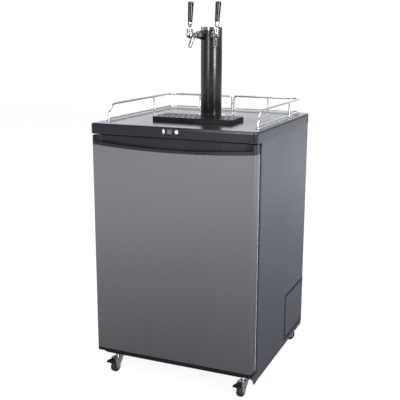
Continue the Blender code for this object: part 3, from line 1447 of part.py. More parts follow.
def drip_grille(material, joint):
    """A plate pierced by slanted slots in rows that lean left and right by turns."""
    front, back = tray_edges()
    inset = TRAY_WALL - TRAY_REBATE + GRILLE_EDGE_GAP
    half = TRAY_WIDTH / 2 - inset
    front += inset
    back -= inset
    high = WORKTOP_TOP + SEAT_GAP + TRAY_HEIGHT
    low = high - GRILLE_WALL
    plate = prism(tray_outline(inset), "Z", low, high)
    row_depth = (back - front - 2 * GRILLE_MARGIN + GRILLE_SLOT_BAR) / GRILLE_SLOT_ROWS
    length = row_depth - GRILLE_SLOT_BAR
    lean = length * GRILLE_SLOT_LEAN_SHARE
    room = 2 * (half - GRILLE_MARGIN) - GRILLE_SLOT_WIDTH - lean
    slots = []
    for row in range(GRILLE_SLOT_ROWS):
        y = front + GRILLE_MARGIN + row * row_depth
        way = 1 if row % 2 else -1
        for column in range(GRILLE_SLOT_COLUMNS):
            x = TRAY_X + room * (column / (GRILLE_SLOT_COLUMNS - 1) - 0.5)
            near = x - way * lean / 2
            far = x + way * lean / 2
            wide = GRILLE_SLOT_WIDTH / 2
            corners = [(near - wide, y), (near + wide, y), (far + wide, y + length), (far - wide, y + length)]
            slots.append(prism(corners, "Z", low - OVERRUN, high + OVERRUN))
    return on_joint(cut(plate, *slots), "drip_grille", material, joint)


def caster_fork(material, joint):
    """A stem and head that turn under the pan, with two legs that hold the riveted axle.

    The frame has its origin on the swivel axis at the pan's underside, and the fork trails to -Y.
    """
    axle_z = AXLE_HEIGHT - CASTER_HEIGHT
    top = FORK_PLATE_TOP - CASTER_HEIGHT
    head = turned(
        [
            (0, top - FORK_WALL / 2),
            (FORK_HEAD_RADIUS - FORK_CORNER, top - FORK_WALL / 2),
            (FORK_HEAD_RADIUS, top + FORK_CORNER),
            (FORK_HEAD_RADIUS, -SEAT_GAP),
            (FORK_STEM_RADIUS, -SEAT_GAP),
            (FORK_STEM_RADIUS, FORK_STEM_LENGTH),
            (0, FORK_STEM_LENGTH),
        ],
        SMALL_STEPS,
    )
    inner = WHEEL_WIDTH / 2 + FORK_SIDE_GAP
    outer = inner + FORK_WALL
    plate_outline = rounded(rectangle(-outer, outer, -FORK_FRONT_REACH, FORK_BACK_REACH), FORK_CORNER, 1)
    plate = prism(plate_outline, "Z", top - FORK_WALL, top)
    leg_corners = [
        (-FORK_FRONT_REACH, top),
        (-CASTER_OFFSET - FORK_EYE_RADIUS, axle_z - FORK_EYE_RADIUS),
        (-CASTER_OFFSET + FORK_EYE_RADIUS, axle_z - FORK_EYE_RADIUS),
        (FORK_BACK_REACH, top - 2 * FORK_WALL),
        (FORK_BACK_REACH, top),
    ]
    eye = FORK_EYE_RADIUS * 0.8
    leg_outline = rounded(leg_corners, [0, eye, eye, FORK_CORNER, 0], 3)
    legs = [prism(leg_outline, "X", inner, outer), prism(leg_outline, "X", -outer, -inner)]
    reach = outer + AXLE_HEAD_WALL
    axle = turned(
        [
            (0, -reach),
            (AXLE_HEAD_RADIUS, -reach),
            (AXLE_HEAD_RADIUS, -inner - FORK_WALL / 2),
            (AXLE_RADIUS, -inner - FORK_WALL / 2),
            (AXLE_RADIUS, inner + FORK_WALL / 2),
            (AXLE_HEAD_RADIUS, inner + FORK_WALL / 2),
            (AXLE_HEAD_RADIUS, reach),
            (0, reach),
        ],
        SMALL_STEPS,
    )
    moved(axle, (0, -CASTER_OFFSET, axle_z), ALONG_X)
    pin = moved(rod(PEDAL_PIN_RADIUS, -outer, outer, BAR_SIDES), pedal_pivot(), ALONG_X)
    return named(fused(plate, head, *legs, axle, pin), "front_left_fork", material, joint=joint)


def pedal_pivot():
    """The pedal's pin in the fork's frame, between the legs and ahead of the wheel's top."""
    return Vector((0, -PEDAL_PIVOT_REACH, FORK_PLATE_TOP - CASTER_HEIGHT - PEDAL_PIVOT_DROP))


def caster_wheel(material, joint):
    """A tyre with dished sides round a hub, its bore running on the axle."""
    bore = AXLE_RADIUS + RUNNING_GAP
    half = WHEEL_WIDTH / 2
    dish = half - WHEEL_DISH
    side = [
        (bore, half),
        (WHEEL_HUB_RADIUS, half),
        (WHEEL_HUB_RADIUS, dish),
        (WHEEL_RIM_RADIUS, dish),
        (WHEEL_RIM_RADIUS, half),
        (WHEEL_RADIUS - WHEEL_EDGE, half),
        (WHEEL_RADIUS, half - WHEEL_EDGE),
    ]
    profile = [(radius, -level) for radius, level in side] + list(reversed(side))
    wheel = turned(profile, ROUND_STEPS, ring=True)
    moved(wheel, turn=Matrix.Rotation(math.pi / ROUND_STEPS, 4, "X") @ ALONG_X)
    return named(wheel, "front_left_wheel", material, joint=joint)


def brake_pedal(material, joint):
    """A sloping wedge to tread on, with a barrel round the fork's cross pin."""
    bore = PEDAL_PIN_RADIUS + RUNNING_GAP
    room = WHEEL_WIDTH / 2 + FORK_SIDE_GAP - PEDAL_BARREL_GAP
    profile = [(bore, -room), (PEDAL_BARREL_RADIUS, -room), (PEDAL_BARREL_RADIUS, room), (bore, room)]
    barrel = moved(turned(profile, SMALL_STEPS, ring=True), turn=ALONG_X)
    slope = math.tan(PEDAL_SLOPE)
    start = -PEDAL_BARREL_RADIUS + PEDAL_WALL / 4
    end = start - PEDAL_LENGTH
    neck_end = start - PEDAL_ROOT
    top = PEDAL_WALL / 2
    neck_corners = [
        (start, top),
        (start, -PEDAL_WALL / 2),
        (neck_end - PEDAL_WALL, -PEDAL_WALL / 2 - PEDAL_ROOT * slope),
        (neck_end - PEDAL_WALL, top - PEDAL_ROOT * slope),
    ]
    neck = prism(neck_corners, "X", -room, room)
    pad_corners = [
        (neck_end, top - PEDAL_ROOT * slope),
        (neck_end, top - PEDAL_ROOT * slope - PEDAL_WALL),
        (end, top - PEDAL_LENGTH * slope - PEDAL_TIP_WALL),
        (end, top - PEDAL_LENGTH * slope),
    ]
    pad = prism(rounded(pad_corners, PEDAL_CORNER, 2), "X", -PEDAL_WIDTH / 2, PEDAL_WIDTH / 2)
    return named(fused(barrel, neck, pad), "front_left_brake", material, joint=joint)


def build_cabinet(coats):
    cabinet_shell(coats["black_enamel"])
    cabinet_core(coats["foam"])
    inner_liner(coats["white_plastic"])
    keg_floor_plate(coats["brushed_steel"])
    cold_plate(coats["aluminium"])
    worktop(coats["black_gloss"])
    base_pan(coats["zinc"])
    kick_plate(coats["black_plastic"])
    side_cover(1, "right_side_cover", coats["black_enamel"])
    side_cover(-1, "left_side_cover", coats["black_enamel"])
    rear_cover(coats["black_enamel"])
    cord_inlet(coats["black_plastic"])
    compressor(coats["black_enamel"])
    condenser_coil(coats["black_enamel"])
    upper_hinge(coats["black_enamel"])
    lower_hinge(coats["black_enamel"])


def build_controls(coats):
    control_panel(coats["black_gloss"])
    display_window(coats["smoked_lens"])
    arrow_button(coats["white_plastic"], joint_at("arrow_rocker", (ARROW_X, PANEL_BACK, PANEL_Z)))
    power_button(coats["white_plastic"], joint_at("power_press", (POWER_X, PANEL_FRONT, PANEL_Z)))


def build_door(coats):
    joint = joint_at("door_hinge", (HINGE_X, HINGE_Y, DOOR_BOTTOM))
    door_panel(coats["brushed_steel"], joint)
    door_core(coats["foam"], joint)
    door_liner(coats["white_plastic"], joint)
    door_top_cap(coats["black_plastic"], joint)
    door_bottom_cap(coats["black_plastic"], joint)
    door_gasket(coats["grey_rubber"], joint)


def build_top(coats):
    guard_rail(-1, "left_rail", coats["chrome"])
    guard_rail(1, "right_rail", coats["chrome"])
    tower_flange(coats["chrome"])
    tower_column(coats["black_enamel"])
    tower_cap(coats["chrome"], joint_at("cap_lift", (0, TOWER_Y, COLUMN_TOP)))
    front, back = tray_edges()
    tray = joint_at("tray_lift", (TRAY_X, (front + back) / 2, WORKTOP_TOP))
    drip_tray(coats["black_plastic"], tray)
    drip_tray_floor(coats["black_plastic"], tray)
    drip_grille(coats["black_plastic"], joint_at("grille_lift", (0, 0, TRAY_HEIGHT), parent=tray))


def build_faucets(coats):
    left = joint_at("left_faucet_seat", (0, TOWER_Y, FAUCET_Z), turn=-FAUCET_ANGLE)
    right = joint_at("right_faucet_seat", (0, TOWER_Y, FAUCET_Z), turn=FAUCET_ANGLE)
    right_lean = joint_at("right_faucet_lean", (0, 0, 0), parent=right, lean=RIGHT_FAUCET_LEAN)
    fixed = [
        shank_collar(coats["black_plastic"], left),
        shank(coats["chrome"], left),
        coupling_nut(coats["chrome"], left),
    ]
    body = faucet_body(coats["chrome"], left)
    pivot = (0, -FAUCET_REACH, LEVER_PIVOT)
    left_tilt = joint_at("left_tap_pivot", pivot, parent=left, tilt=-LEVER_LEAN)
    right_tilt = joint_at("right_tap_pivot", pivot, parent=right_lean, tilt=-LEVER_LEAN)
    moving = [lever(coats["chrome"], left_tilt), tap_handle(coats["black_gloss"], left_tilt)]
    for piece in fixed:
        copied(piece, piece.name.replace("left", "right"), right)
    copied(body, "right_faucet", right_lean)
    for piece in moving:
        copied(piece, piece.name.replace("left", "right"), right_tilt)


def build_casters(coats):
    first = {}
    for name, (x, y), turn in caster_places():
        swivel = joint_at(name + "_swivel", (x, y, CASTER_HEIGHT), turn=turn)
        axle = joint_at(name + "_axle", (0, -CASTER_OFFSET, AXLE_HEIGHT - CASTER_HEIGHT), parent=swivel)
        if not first:
            first["fork"] = caster_fork(coats["zinc"], swivel)
            first["wheel"] = caster_wheel(coats["black_plastic"], axle)
        else:
            copied(first["fork"], name + "_fork", swivel)
            copied(first["wheel"], name + "_wheel", axle)
        if not name.startswith("front"):
            continue
        pivot = joint_at(name + "_brake_pivot", pedal_pivot(), parent=swivel)
        if "brake" not in first:
            first["brake"] = brake_pedal(coats["black_plastic"], pivot)
        else:
            copied(first["brake"], name + "_brake", pivot)


clear_scene()
finishes = {
    "black_enamel": finish("black_enamel", (0.020, 0.020, 0.024), 0.30, 0),
    "black_gloss": finish("black_gloss", (0.012, 0.012, 0.016), 0.15, 0),
    "black_plastic": finish("black_plastic", (0.012, 0.012, 0.014), 0.45, 0),
    "white_plastic": finish("white_plastic", (0.80, 0.80, 0.80), 0.35, 0),
    "grey_rubber": finish("grey_rubber", (0.045, 0.045, 0.048), 0.70, 0),
    "foam": finish("foam", (0.70, 0.62, 0.42), 0.90, 0),
    "brushed_steel": finish("brushed_steel", (0.30, 0.30, 0.31), 0.35, 1),
    "aluminium": finish("aluminium", (0.75, 0.75, 0.76), 0.35, 1),
    "chrome": finish("chrome", (0.75, 0.75, 0.76), 0.08, 1),
    "zinc": finish("zinc", (0.55, 0.56, 0.58), 0.30, 1),
    "smoked_lens": finish("smoked_lens", (0.03, 0.03, 0.035), 0.08, 0),
}
build_cabinet(finishes)
build_controls(finishes)
build_door(finishes)
build_top(finishes)
build_faucets(finishes)
build_casters(finishes)
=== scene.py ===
"""The looks of a full-size two-tap kegerator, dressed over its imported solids."""

import json
import math

import bmesh
import bpy
import numpy as np
from mathutils import Matrix, Vector


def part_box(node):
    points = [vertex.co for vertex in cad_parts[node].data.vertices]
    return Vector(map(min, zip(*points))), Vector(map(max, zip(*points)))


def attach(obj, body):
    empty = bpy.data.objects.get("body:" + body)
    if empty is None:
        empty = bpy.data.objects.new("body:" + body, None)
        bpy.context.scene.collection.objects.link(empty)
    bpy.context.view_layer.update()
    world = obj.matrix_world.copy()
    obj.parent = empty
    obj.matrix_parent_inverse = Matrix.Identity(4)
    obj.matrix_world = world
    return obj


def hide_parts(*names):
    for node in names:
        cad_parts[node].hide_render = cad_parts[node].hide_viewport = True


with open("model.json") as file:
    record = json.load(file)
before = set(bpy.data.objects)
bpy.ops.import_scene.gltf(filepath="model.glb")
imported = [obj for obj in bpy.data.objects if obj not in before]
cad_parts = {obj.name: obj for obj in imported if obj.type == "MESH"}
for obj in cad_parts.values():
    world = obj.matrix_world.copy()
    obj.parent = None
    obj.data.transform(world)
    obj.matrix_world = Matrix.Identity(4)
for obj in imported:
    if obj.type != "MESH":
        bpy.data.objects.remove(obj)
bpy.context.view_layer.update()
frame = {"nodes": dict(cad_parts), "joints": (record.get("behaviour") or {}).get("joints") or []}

# The camera stands a little above the worktop and to the right of the door.
# Its place, turn and lens come from the photograph's perspective.
CAMERA_PLACE = (1.0248, -2.4710, 1.2326)
CAMERA_YAW = math.radians(23.0009)
CAMERA_PITCH = math.radians(12.8809)
CAMERA_ROLL = math.radians(0.1862)
CAMERA_LENS = 66.357

ahead = Vector(
    (
        -math.sin(CAMERA_YAW) * math.cos(CAMERA_PITCH),
        math.cos(CAMERA_YAW) * math.cos(CAMERA_PITCH),
        -math.sin(CAMERA_PITCH),
    )
)
level_right = Vector((math.cos(CAMERA_YAW), math.sin(CAMERA_YAW), 0))
level_up = level_right.cross(ahead)
right = math.cos(CAMERA_ROLL) * level_right + math.sin(CAMERA_ROLL) * level_up
up = math.cos(CAMERA_ROLL) * level_up - math.sin(CAMERA_ROLL) * level_right
camera_data = bpy.data.cameras.new("camera")
camera_data.lens = CAMERA_LENS
camera_data.clip_end = 50
camera = bpy.data.objects.new("camera", camera_data)
camera.matrix_world = Matrix.Translation(CAMERA_PLACE) @ Matrix((right, up, -ahead)).transposed().to_4x4()
bpy.context.scene.collection.objects.link(camera)
bpy.context.scene.camera = camera
bpy.context.scene.view_settings.view_transform = "Standard"


# Plain soft studio light: a wide box overhead, a tall box left of the door, a tall box on the right, a broad
# weak one behind and a weak one at the rear left, so that every side of the object is lit.
def softbox(name, place, target, size, power, tint=(1, 1, 1)):
    data = bpy.data.lights.new(name, "AREA")
    data.shape = "RECTANGLE"
    data.size, data.size_y = size
    data.energy = power
    data.color = tint
    lamp = bpy.data.objects.new(name, data)
    lamp.location = place
    lamp.rotation_euler = (Vector(target) - Vector(place)).to_track_quat("-Z", "Y").to_euler()
    bpy.context.scene.collection.objects.link(lamp)


softbox("overhead_box", (0.2, -0.6, 3.8), (0, 0, 0.6), (2.6, 2.0), 60)
softbox("left_box", (-0.62, -3.1, 1.75), (0, 0, 1.1), (0.35, 1.6), 34, (0.96, 0.97, 1))
softbox("right_box", (2.75, -1.6, 1.75), (0, 0, 1.1), (0.42, 1.6), 105, (1, 0.98, 0.96))
softbox("rear_box", (-1.2, 3.6, 1.75), (0, 0, 0.9), (4.0, 0.9), 12)
softbox("left_rear_box", (-3.2, 0.0, 1.5), (0, 0, 0.7), (1.2, 2.0), 8)


# The floor is pale and keeps the object's soft shadow. The camera sees floor and backdrop as white. In gloss
# and glass the floor is a cool white glow, greyer near the object as a painted shadow, and far off in front.
FLOOR_SIDE = 16
SHADOW_SHARE = 0.25
NEAR_START = 0.3
NEAR_STOP = 4.2
PAINTED_SHADOW_GREY = 0.26
DIM_START = 5.6
DIM_STOP = 7.2
FAR_GREY = 0.42
FRONT_TO_BACK = (-1, 1)
FLOOR_TONE = (0.86, 0.86, 0.86, 1)
FLOOR_SEEN = 1.2
COOL_WHITE = (0.86, 0.90, 1, 1)


def joined_by(nodes, links, operation, first, second):
    """A maths node over two sockets or numbers."""
    node = nodes.new("ShaderNodeMath")
    node.operation = operation
    for place, given in enumerate((first, second)):
        if isinstance(given, (int, float)):
            node.inputs[place].default_value = given
        else:
            links.new(given, node.inputs[place])
    return node.outputs[0]


def spread(nodes, links, value, start, stop, low, high):
    """The value from start to stop, spread over low to high and held at both ends."""
    node = nodes.new("ShaderNodeMapRange")
    ends = {"From Min": start, "From Max": stop, "To Min": low, "To Max": high}
    for label, number in ends.items():
        node.inputs[label].default_value = number
    links.new(value, node.inputs["Value"])
    return node.outputs[0]


def cool_or_white(nodes, links, path):
    """White for the camera and a cool white in gloss."""
    node = nodes.new("ShaderNodeMix")
    node.data_type = "RGBA"
    links.new(path.outputs["Is Camera Ray"], node.inputs["Factor"])
    first, second = [socket for socket in node.inputs if socket.type == "RGBA"]
    first.default_value = COOL_WHITE
    second.default_value = (1, 1, 1, 1)
    return next(socket for socket in node.outputs if socket.type == "RGBA")


floor_coat = bpy.data.materials.new("pale_floor")
floor_coat.use_nodes = True
nodes, links = floor_coat.node_tree.nodes, floor_coat.node_tree.links
shader = nodes["Principled BSDF"]
shader.inputs["Base Color"].default_value = FLOOR_TONE
shader.inputs["Roughness"].default_value = 0.9
shader.inputs["Specular IOR Level"].default_value = 0.1
path = nodes.new("ShaderNodeLightPath")
place = nodes.new("ShaderNodeNewGeometry")
length = nodes.new("ShaderNodeVectorMath")
length.operation = "LENGTH"
links.new(place.outputs["Position"], length.inputs[0])
away = length.outputs["Value"]
# Painted shadow: in gloss the floor's glow dims near the object.
rise = spread(nodes, links, away, NEAR_START, NEAR_STOP, PAINTED_SHADOW_GREY, 1)
far_off = spread(nodes, links, away, DIM_START, DIM_STOP, 0, 1 - FAR_GREY)
depth = nodes.new("ShaderNodeSeparateXYZ")
links.new(place.outputs["Position"], depth.inputs[0])
in_front = spread(nodes, links, depth.outputs["Y"], *FRONT_TO_BACK, 1, 0)
fall = joined_by(nodes, links, "SUBTRACT", 1, joined_by(nodes, links, "MULTIPLY", far_off, in_front))
fade = joined_by(nodes, links, "MULTIPLY", rise, fall)
seen = joined_by(nodes, links, "MULTIPLY", path.outputs["Is Camera Ray"], FLOOR_SEEN)
glow = nodes.new("ShaderNodeEmission")
links.new(cool_or_white(nodes, links, path), glow.inputs["Color"])
links.new(joined_by(nodes, links, "MAXIMUM", fade, seen), glow.inputs["Strength"])
in_gloss = joined_by(
    nodes, links, "MAXIMUM", path.outputs["Is Glossy Ray"], path.outputs["Is Transmission Ray"]
)
to_camera = joined_by(nodes, links, "MULTIPLY", path.outputs["Is Camera Ray"], 1 - SHADOW_SHARE)
blend = nodes.new("ShaderNodeMixShader")
links.new(joined_by(nodes, links, "MAXIMUM", in_gloss, to_camera), blend.inputs[0])
links.new(shader.outputs[0], blend.inputs[1])
links.new(glow.outputs[0], blend.inputs[2])
links.new(blend.outputs[0], nodes["Material Output"].inputs["Surface"])
floor_data = bpy.data.meshes.new("floor")
corner = FLOOR_SIDE / 2
floor_data.from_pydata(
    [(-corner, -corner, 0), (corner, -corner, 0), (corner, corner, 0), (-corner, corner, 0)],
    [],
    [(0, 1, 2, 3)],
)
floor_data.materials.append(floor_coat)
floor = bpy.data.objects.new("floor", floor_data)
bpy.context.scene.collection.objects.link(floor)


# The room lights the object evenly. In gloss it is white behind the object, and grey overhead, on the
# camera's side and in a band at the horizon.
BACKDROP_FRONT = 0.30
BACKDROP_TOP = 0.40
CAMERA_SIDE = (0.377, -0.926)
HORIZON_GREY = 0.25
HORIZON_FALL = (-0.11, -0.07)
HORIZON_RISE = (0.05, 0.21)
FRONT_RANGE = (0.74, 0.96)
TOP_RANGE = (-0.02, 0.5)
ROOM_TINT = (0.93, 0.95, 1, 1)
ROOM_STRENGTH = 0.42

world = bpy.data.worlds.new("studio")
bpy.context.scene.world = world
world.use_nodes = True
nodes, links = world.node_tree.nodes, world.node_tree.links
room = nodes["Background"]
room.inputs["Color"].default_value = ROOM_TINT
room.inputs["Strength"].default_value = ROOM_STRENGTH
backdrop = nodes.new("ShaderNodeBackground")
compass = nodes.new("ShaderNodeTexCoord")
axes = nodes.new("ShaderNodeSeparateXYZ")
path = nodes.new("ShaderNodeLightPath")
links.new(compass.outputs["Generated"], axes.inputs[0])
links.new(cool_or_white(nodes, links, path), backdrop.inputs["Color"])
above = spread(nodes, links, axes.outputs["Z"], *HORIZON_RISE, 0, 1)
below = spread(nodes, links, axes.outputs["Z"], *HORIZON_FALL, 1, 0)
off_horizon = joined_by(nodes, links, "MAXIMUM", above, below)
horizon = spread(nodes, links, off_horizon, 0, 1, HORIZON_GREY, 1)
facing = joined_by(
    nodes,
    links,
    "ADD",
    joined_by(nodes, links, "MULTIPLY", axes.outputs["X"], CAMERA_SIDE[0]),
    joined_by(nodes, links, "MULTIPLY", axes.outputs["Y"], CAMERA_SIDE[1]),
)
front_fade = spread(nodes, links, facing, *FRONT_RANGE, 1, BACKDROP_FRONT)
top_fade = spread(nodes, links, axes.outputs["Z"], *TOP_RANGE, 1, BACKDROP_TOP)
both_fades = joined_by(nodes, links, "MULTIPLY", front_fade, top_fade)
shade = joined_by(nodes, links, "MULTIPLY", both_fades, horizon)
shown = joined_by(nodes, links, "MAXIMUM", shade, path.outputs["Is Camera Ray"])
links.new(shown, backdrop.inputs["Strength"])
in_gloss = joined_by(
    nodes, links, "MAXIMUM", path.outputs["Is Glossy Ray"], path.outputs["Is Transmission Ray"]
)
seen = joined_by(nodes, links, "MAXIMUM", in_gloss, path.outputs["Is Camera Ray"])
either = nodes.new("ShaderNodeMixShader")
links.new(seen, either.inputs[0])
links.new(room.outputs[0], either.inputs[1])
links.new(backdrop.outputs[0], either.inputs[2])
links.new(either.outputs[0], nodes["World Output"].inputs["Surface"])


# WORKTOP
# A moulded lid in satin black, thick at the rim, with a rounded upper edge and rounded corners.
# It overhangs the cabinet and the door, and carries the tower, the rail and the drip tray.
def group(name, inputs, outputs):
    """An empty node group with its sockets: inputs are (name, default) and outputs (name, kind)."""
    tree = bpy.data.node_groups.new(name, "ShaderNodeTree")
    for label, default in inputs:
        kind = "NodeSocketColor" if isinstance(default, tuple) else "NodeSocketFloat"
        socket = tree.interface.new_socket(name=label, in_out="INPUT", socket_type=kind)
        socket.default_value = (*default, 1) if isinstance(default, tuple) else default
    for label, kind in outputs:
        tree.interface.new_socket(name=label, in_out="OUTPUT", socket_type=kind)
    start = tree.nodes.new("NodeGroupInput")
    end = tree.nodes.new("NodeGroupOutput")
    return tree, start, end


def noise(tree, scale, detail, vector, stretch=(1, 1, 1)):
    """Noise on the piece's own coordinates, drawn out along the axes whose stretch is small."""
    mapping = tree.nodes.new("ShaderNodeMapping")
    mapping.inputs["Scale"].default_value = stretch
    texture = tree.nodes.new("ShaderNodeTexNoise")
    texture.inputs["Scale"].default_value = scale
    texture.inputs["Detail"].default_value = detail
    tree.links.new(vector, mapping.inputs["Vector"])
    tree.links.new(mapping.outputs[0], texture.inputs["Vector"])
    return texture.outputs["Fac"]


def ranged(tree, value, low, high, start=0.35, stop=0.65):
    """The value from start to stop, spread over low to high. Low and high may be sockets or numbers."""
    node = tree.nodes.new("ShaderNodeMapRange")
    node.inputs["From Min"].default_value = start
    node.inputs["From Max"].default_value = stop
    for label, given in (("To Min", low), ("To Max", high)):
        if isinstance(given, (int, float)):
            node.inputs[label].default_value = given
        else:
            tree.links.new(given, node.inputs[label])
    tree.links.new(value, node.inputs["Value"])
    return node.outputs[0]


def blended(tree, factor, first, second):
    """Colour mix by the factor. First and second are sockets or colours."""
    node = tree.nodes.new("ShaderNodeMix")
    node.data_type = "RGBA"
    tree.links.new(factor, node.inputs["Factor"])
    for label, given in (("A", first), ("B", second)):
        socket = next(s for s in node.inputs if s.name == label and s.type == "RGBA")
        if isinstance(given, tuple):
            socket.default_value = (*given, 1)
        else:
            tree.links.new(given, socket)
    return next(s for s in node.outputs if s.type == "RGBA")


CLOUD_DETAIL = 4
GRAIN_DETAIL = 2
GRAIN_ROUGHNESS = 0.03


def handled_surface():
    """Clouds of handling: a colour that drifts between two tones, a roughness that drifts, a fine bump."""
    tree, start, end = group(
        "handled_surface",
        [
            ("Tone", (0.02, 0.02, 0.02)),
            ("Worn Tone", (0.03, 0.03, 0.03)),
            ("Smooth", 0.2),
            ("Rough", 0.35),
            ("Cloud Scale", 6.0),
            ("Grain Scale", 900.0),
            ("Grain Height", 0.1),
        ],
        [("Color", "NodeSocketColor"), ("Roughness", "NodeSocketFloat"), ("Height", "NodeSocketFloat")],
    )
    place = tree.nodes.new("ShaderNodeTexCoord").outputs["Object"]
    clouds = tree.nodes.new("ShaderNodeTexNoise")
    clouds.inputs["Detail"].default_value = CLOUD_DETAIL
    tree.links.new(place, clouds.inputs["Vector"])
    tree.links.new(start.outputs["Cloud Scale"], clouds.inputs["Scale"])
    grain = tree.nodes.new("ShaderNodeTexNoise")
    grain.inputs["Detail"].default_value = GRAIN_DETAIL
    tree.links.new(place, grain.inputs["Vector"])
    tree.links.new(start.outputs["Grain Scale"], grain.inputs["Scale"])
    drift = ranged(tree, clouds.outputs["Fac"], 0.0, 1.0)
    tone = blended(tree, drift, start.outputs["Tone"], start.outputs["Worn Tone"])
    tree.links.new(tone, end.inputs["Color"])
    both = tree.nodes.new("ShaderNodeMath")
    both.operation = "ADD"
    rough = ranged(tree, clouds.outputs["Fac"], start.outputs["Smooth"], start.outputs["Rough"])
    speckle = ranged(tree, grain.outputs["Fac"], -GRAIN_ROUGHNESS, GRAIN_ROUGHNESS)
    tree.links.new(rough, both.inputs[0])
    tree.links.new(speckle, both.inputs[1])
    tree.links.new(both.outputs[0], end.inputs["Roughness"])
    rise = tree.nodes.new("ShaderNodeMath")
    rise.operation = "MULTIPLY"
    tree.links.new(grain.outputs["Fac"], rise.inputs[0])
    tree.links.new(start.outputs["Grain Height"], rise.inputs[1])
    tree.links.new(rise.outputs[0], end.inputs["Height"])
    return tree


HANDLED = handled_surface()


def coat(name, surface, shader_values, bump_distance=0.0004, **values):
    """A material: a Principled shader whose colour, roughness and bump come from the surface group."""
    material = bpy.data.materials.new(name)
    material.use_nodes = True
    tree = material.node_tree
    shader = tree.nodes["Principled BSDF"]
    for label, value in shader_values.items():
        shader.inputs[label].default_value = value
    source = tree.nodes.new("ShaderNodeGroup")
    source.node_tree = surface
    for label, value in values.items():
        socket = source.inputs[label.replace("_", " ").title()]
        socket.default_value = (*value, 1) if isinstance(value, tuple) else value
    bump = tree.nodes.new("ShaderNodeBump")
    bump.inputs["Distance"].default_value = bump_distance
    tree.links.new(source.outputs["Color"], shader.inputs["Base Color"])
    tree.links.new(source.outputs["Roughness"], shader.inputs["Roughness"])
    tree.links.new(source.outputs["Height"], bump.inputs["Height"])
    tree.links.new(bump.outputs[0], shader.inputs["Normal"])
    return material


def placed(mesh, name, body, material, crease=32):
    """The finished mesh as a piece: smooth but for edges sharper than the crease, riding on its body."""
    mesh.name = name
    mesh.materials.clear()
    mesh.materials.append(material)
    mesh.shade_smooth()
    mesh.set_sharp_from_angle(angle=math.radians(crease))
    piece = bpy.data.objects.new(name, mesh)
    bpy.context.scene.collection.objects.link(piece)
    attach(piece, body)
    return piece


SAME_POINT = 0.00002
SAME_PLANE = math.radians(0.4)


def eased(node, name, body, material, edge=0.0006, steps=2, crease=32):
    """A copy of a solid's own mesh, its loose triangles joined and its hard edges eased by a small round."""
    work = bmesh.new()
    work.from_mesh(frame["nodes"][node].data)
    bmesh.ops.remove_doubles(work, verts=work.verts, dist=SAME_POINT)
    bmesh.ops.dissolve_limit(
        work, angle_limit=SAME_PLANE, use_dissolve_boundaries=False, verts=work.verts, edges=work.edges
    )
    joined = bpy.data.meshes.new(name)
    points = [vertex.co[:] for vertex in work.verts]
    joined.from_pydata(points, [], [[vertex.index for vertex in face.verts] for face in work.faces])
    work.free()
    piece = placed(joined, name, body, material, crease)
    if edge:
        bevel = piece.modifiers.new("eased edge", "BEVEL")
        bevel.width = edge
        bevel.segments = steps
        bevel.limit_method = "ANGLE"
        bevel.angle_limit = math.radians(crease)
        bevel.harden_normals = True
        bevel.use_clamp_overlap = True
    weighted = piece.modifiers.new("flat faces", "WEIGHTED_NORMAL")
    weighted.keep_sharp = True
    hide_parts(node)
    return piece


worktop_coat = coat(
    "worktop_satin",
    HANDLED,
    {"IOR": 1.6, "Specular Tint": (0.94, 0.96, 1.0, 1)},
    tone=(0.006, 0.006, 0.009),
    worn_tone=(0.009, 0.009, 0.013),
    smooth=0.18,
    rough=0.24,
    cloud_scale=3.0,
    grain_scale=1400.0,
    grain_height=0.05,
)
eased("worktop", "worktop_lid", "cabinet", worktop_coat, 0.0012)


# CABINET CASE, KICK PLATE, BASE PAN AND COVERS
# Sheet steel in a satin black powder coat with a slight blue cast and a fine pebble.
# The rear corner has a removable cover on each side, each held by three screws.
enamel = coat(
    "case_enamel",
    HANDLED,
    {"IOR": 1.95},
    tone=(0.020, 0.022, 0.031),
    worn_tone=(0.026, 0.029, 0.039),
    smooth=0.24,
    rough=0.34,
    cloud_scale=2.2,
    grain_scale=1600.0,
    grain_height=0.12,
)
eased("cabinet_shell", "case", "cabinet", enamel, 0.0008)
eased("right_side_cover", "right_cover", "cabinet", enamel, 0.0020, 3)
eased("left_side_cover", "left_cover", "cabinet", enamel, 0.0020, 3)
eased("rear_cover", "vented_back", "cabinet", enamel, 0.0004)

foam_coat = coat(
    "foam_core",
    HANDLED,
    {},
    tone=(0.05, 0.047, 0.04),
    worn_tone=(0.09, 0.08, 0.06),
    smooth=0.85,
    rough=0.98,
    cloud_scale=40.0,
    grain_scale=700.0,
    grain_height=1.0,
)
for node in ("cabinet_core", "door_core"):
    frame["nodes"][node].data.materials.clear()
    frame["nodes"][node].data.materials.append(foam_coat)

trim_plastic = coat(
    "moulded_trim",
    HANDLED,
    {"IOR": 1.5},
    tone=(0.009, 0.009, 0.010),
    worn_tone=(0.013, 0.013, 0.015),
    smooth=0.22,
    rough=0.32,
    cloud_scale=9.0,
    grain_scale=2200.0,
    grain_height=0.20,
)
# Painted shade: a darker, duller copy of the trim plastic for the kick strip and the door's foot moulding,
# which stand low in shade near the floor.
shaded_trim_plastic = coat(
    "shaded_trim_plastic",
    HANDLED,
    {"IOR": 1.3},
    tone=(0.006, 0.006, 0.008),
    worn_tone=(0.009, 0.009, 0.011),
    smooth=0.28,
    rough=0.38,
    cloud_scale=9.0,
    grain_scale=2200.0,
    grain_height=0.20,
)
# The kick strip wears the darker trim copy: painted shade.
eased("kick_plate", "kick_strip", "cabinet", shaded_trim_plastic, 0.0006)

zinc_coat = coat(
    "zinc_plate",
    HANDLED,
    {"Metallic": 1.0},
    tone=(0.66, 0.67, 0.69),
    worn_tone=(0.82, 0.83, 0.84),
    smooth=0.20,
    rough=0.36,
    cloud_scale=60.0,
    grain_scale=1500.0,
    grain_height=0.25,
)
eased("base_pan", "pan", "cabinet", zinc_coat, 0.0006)


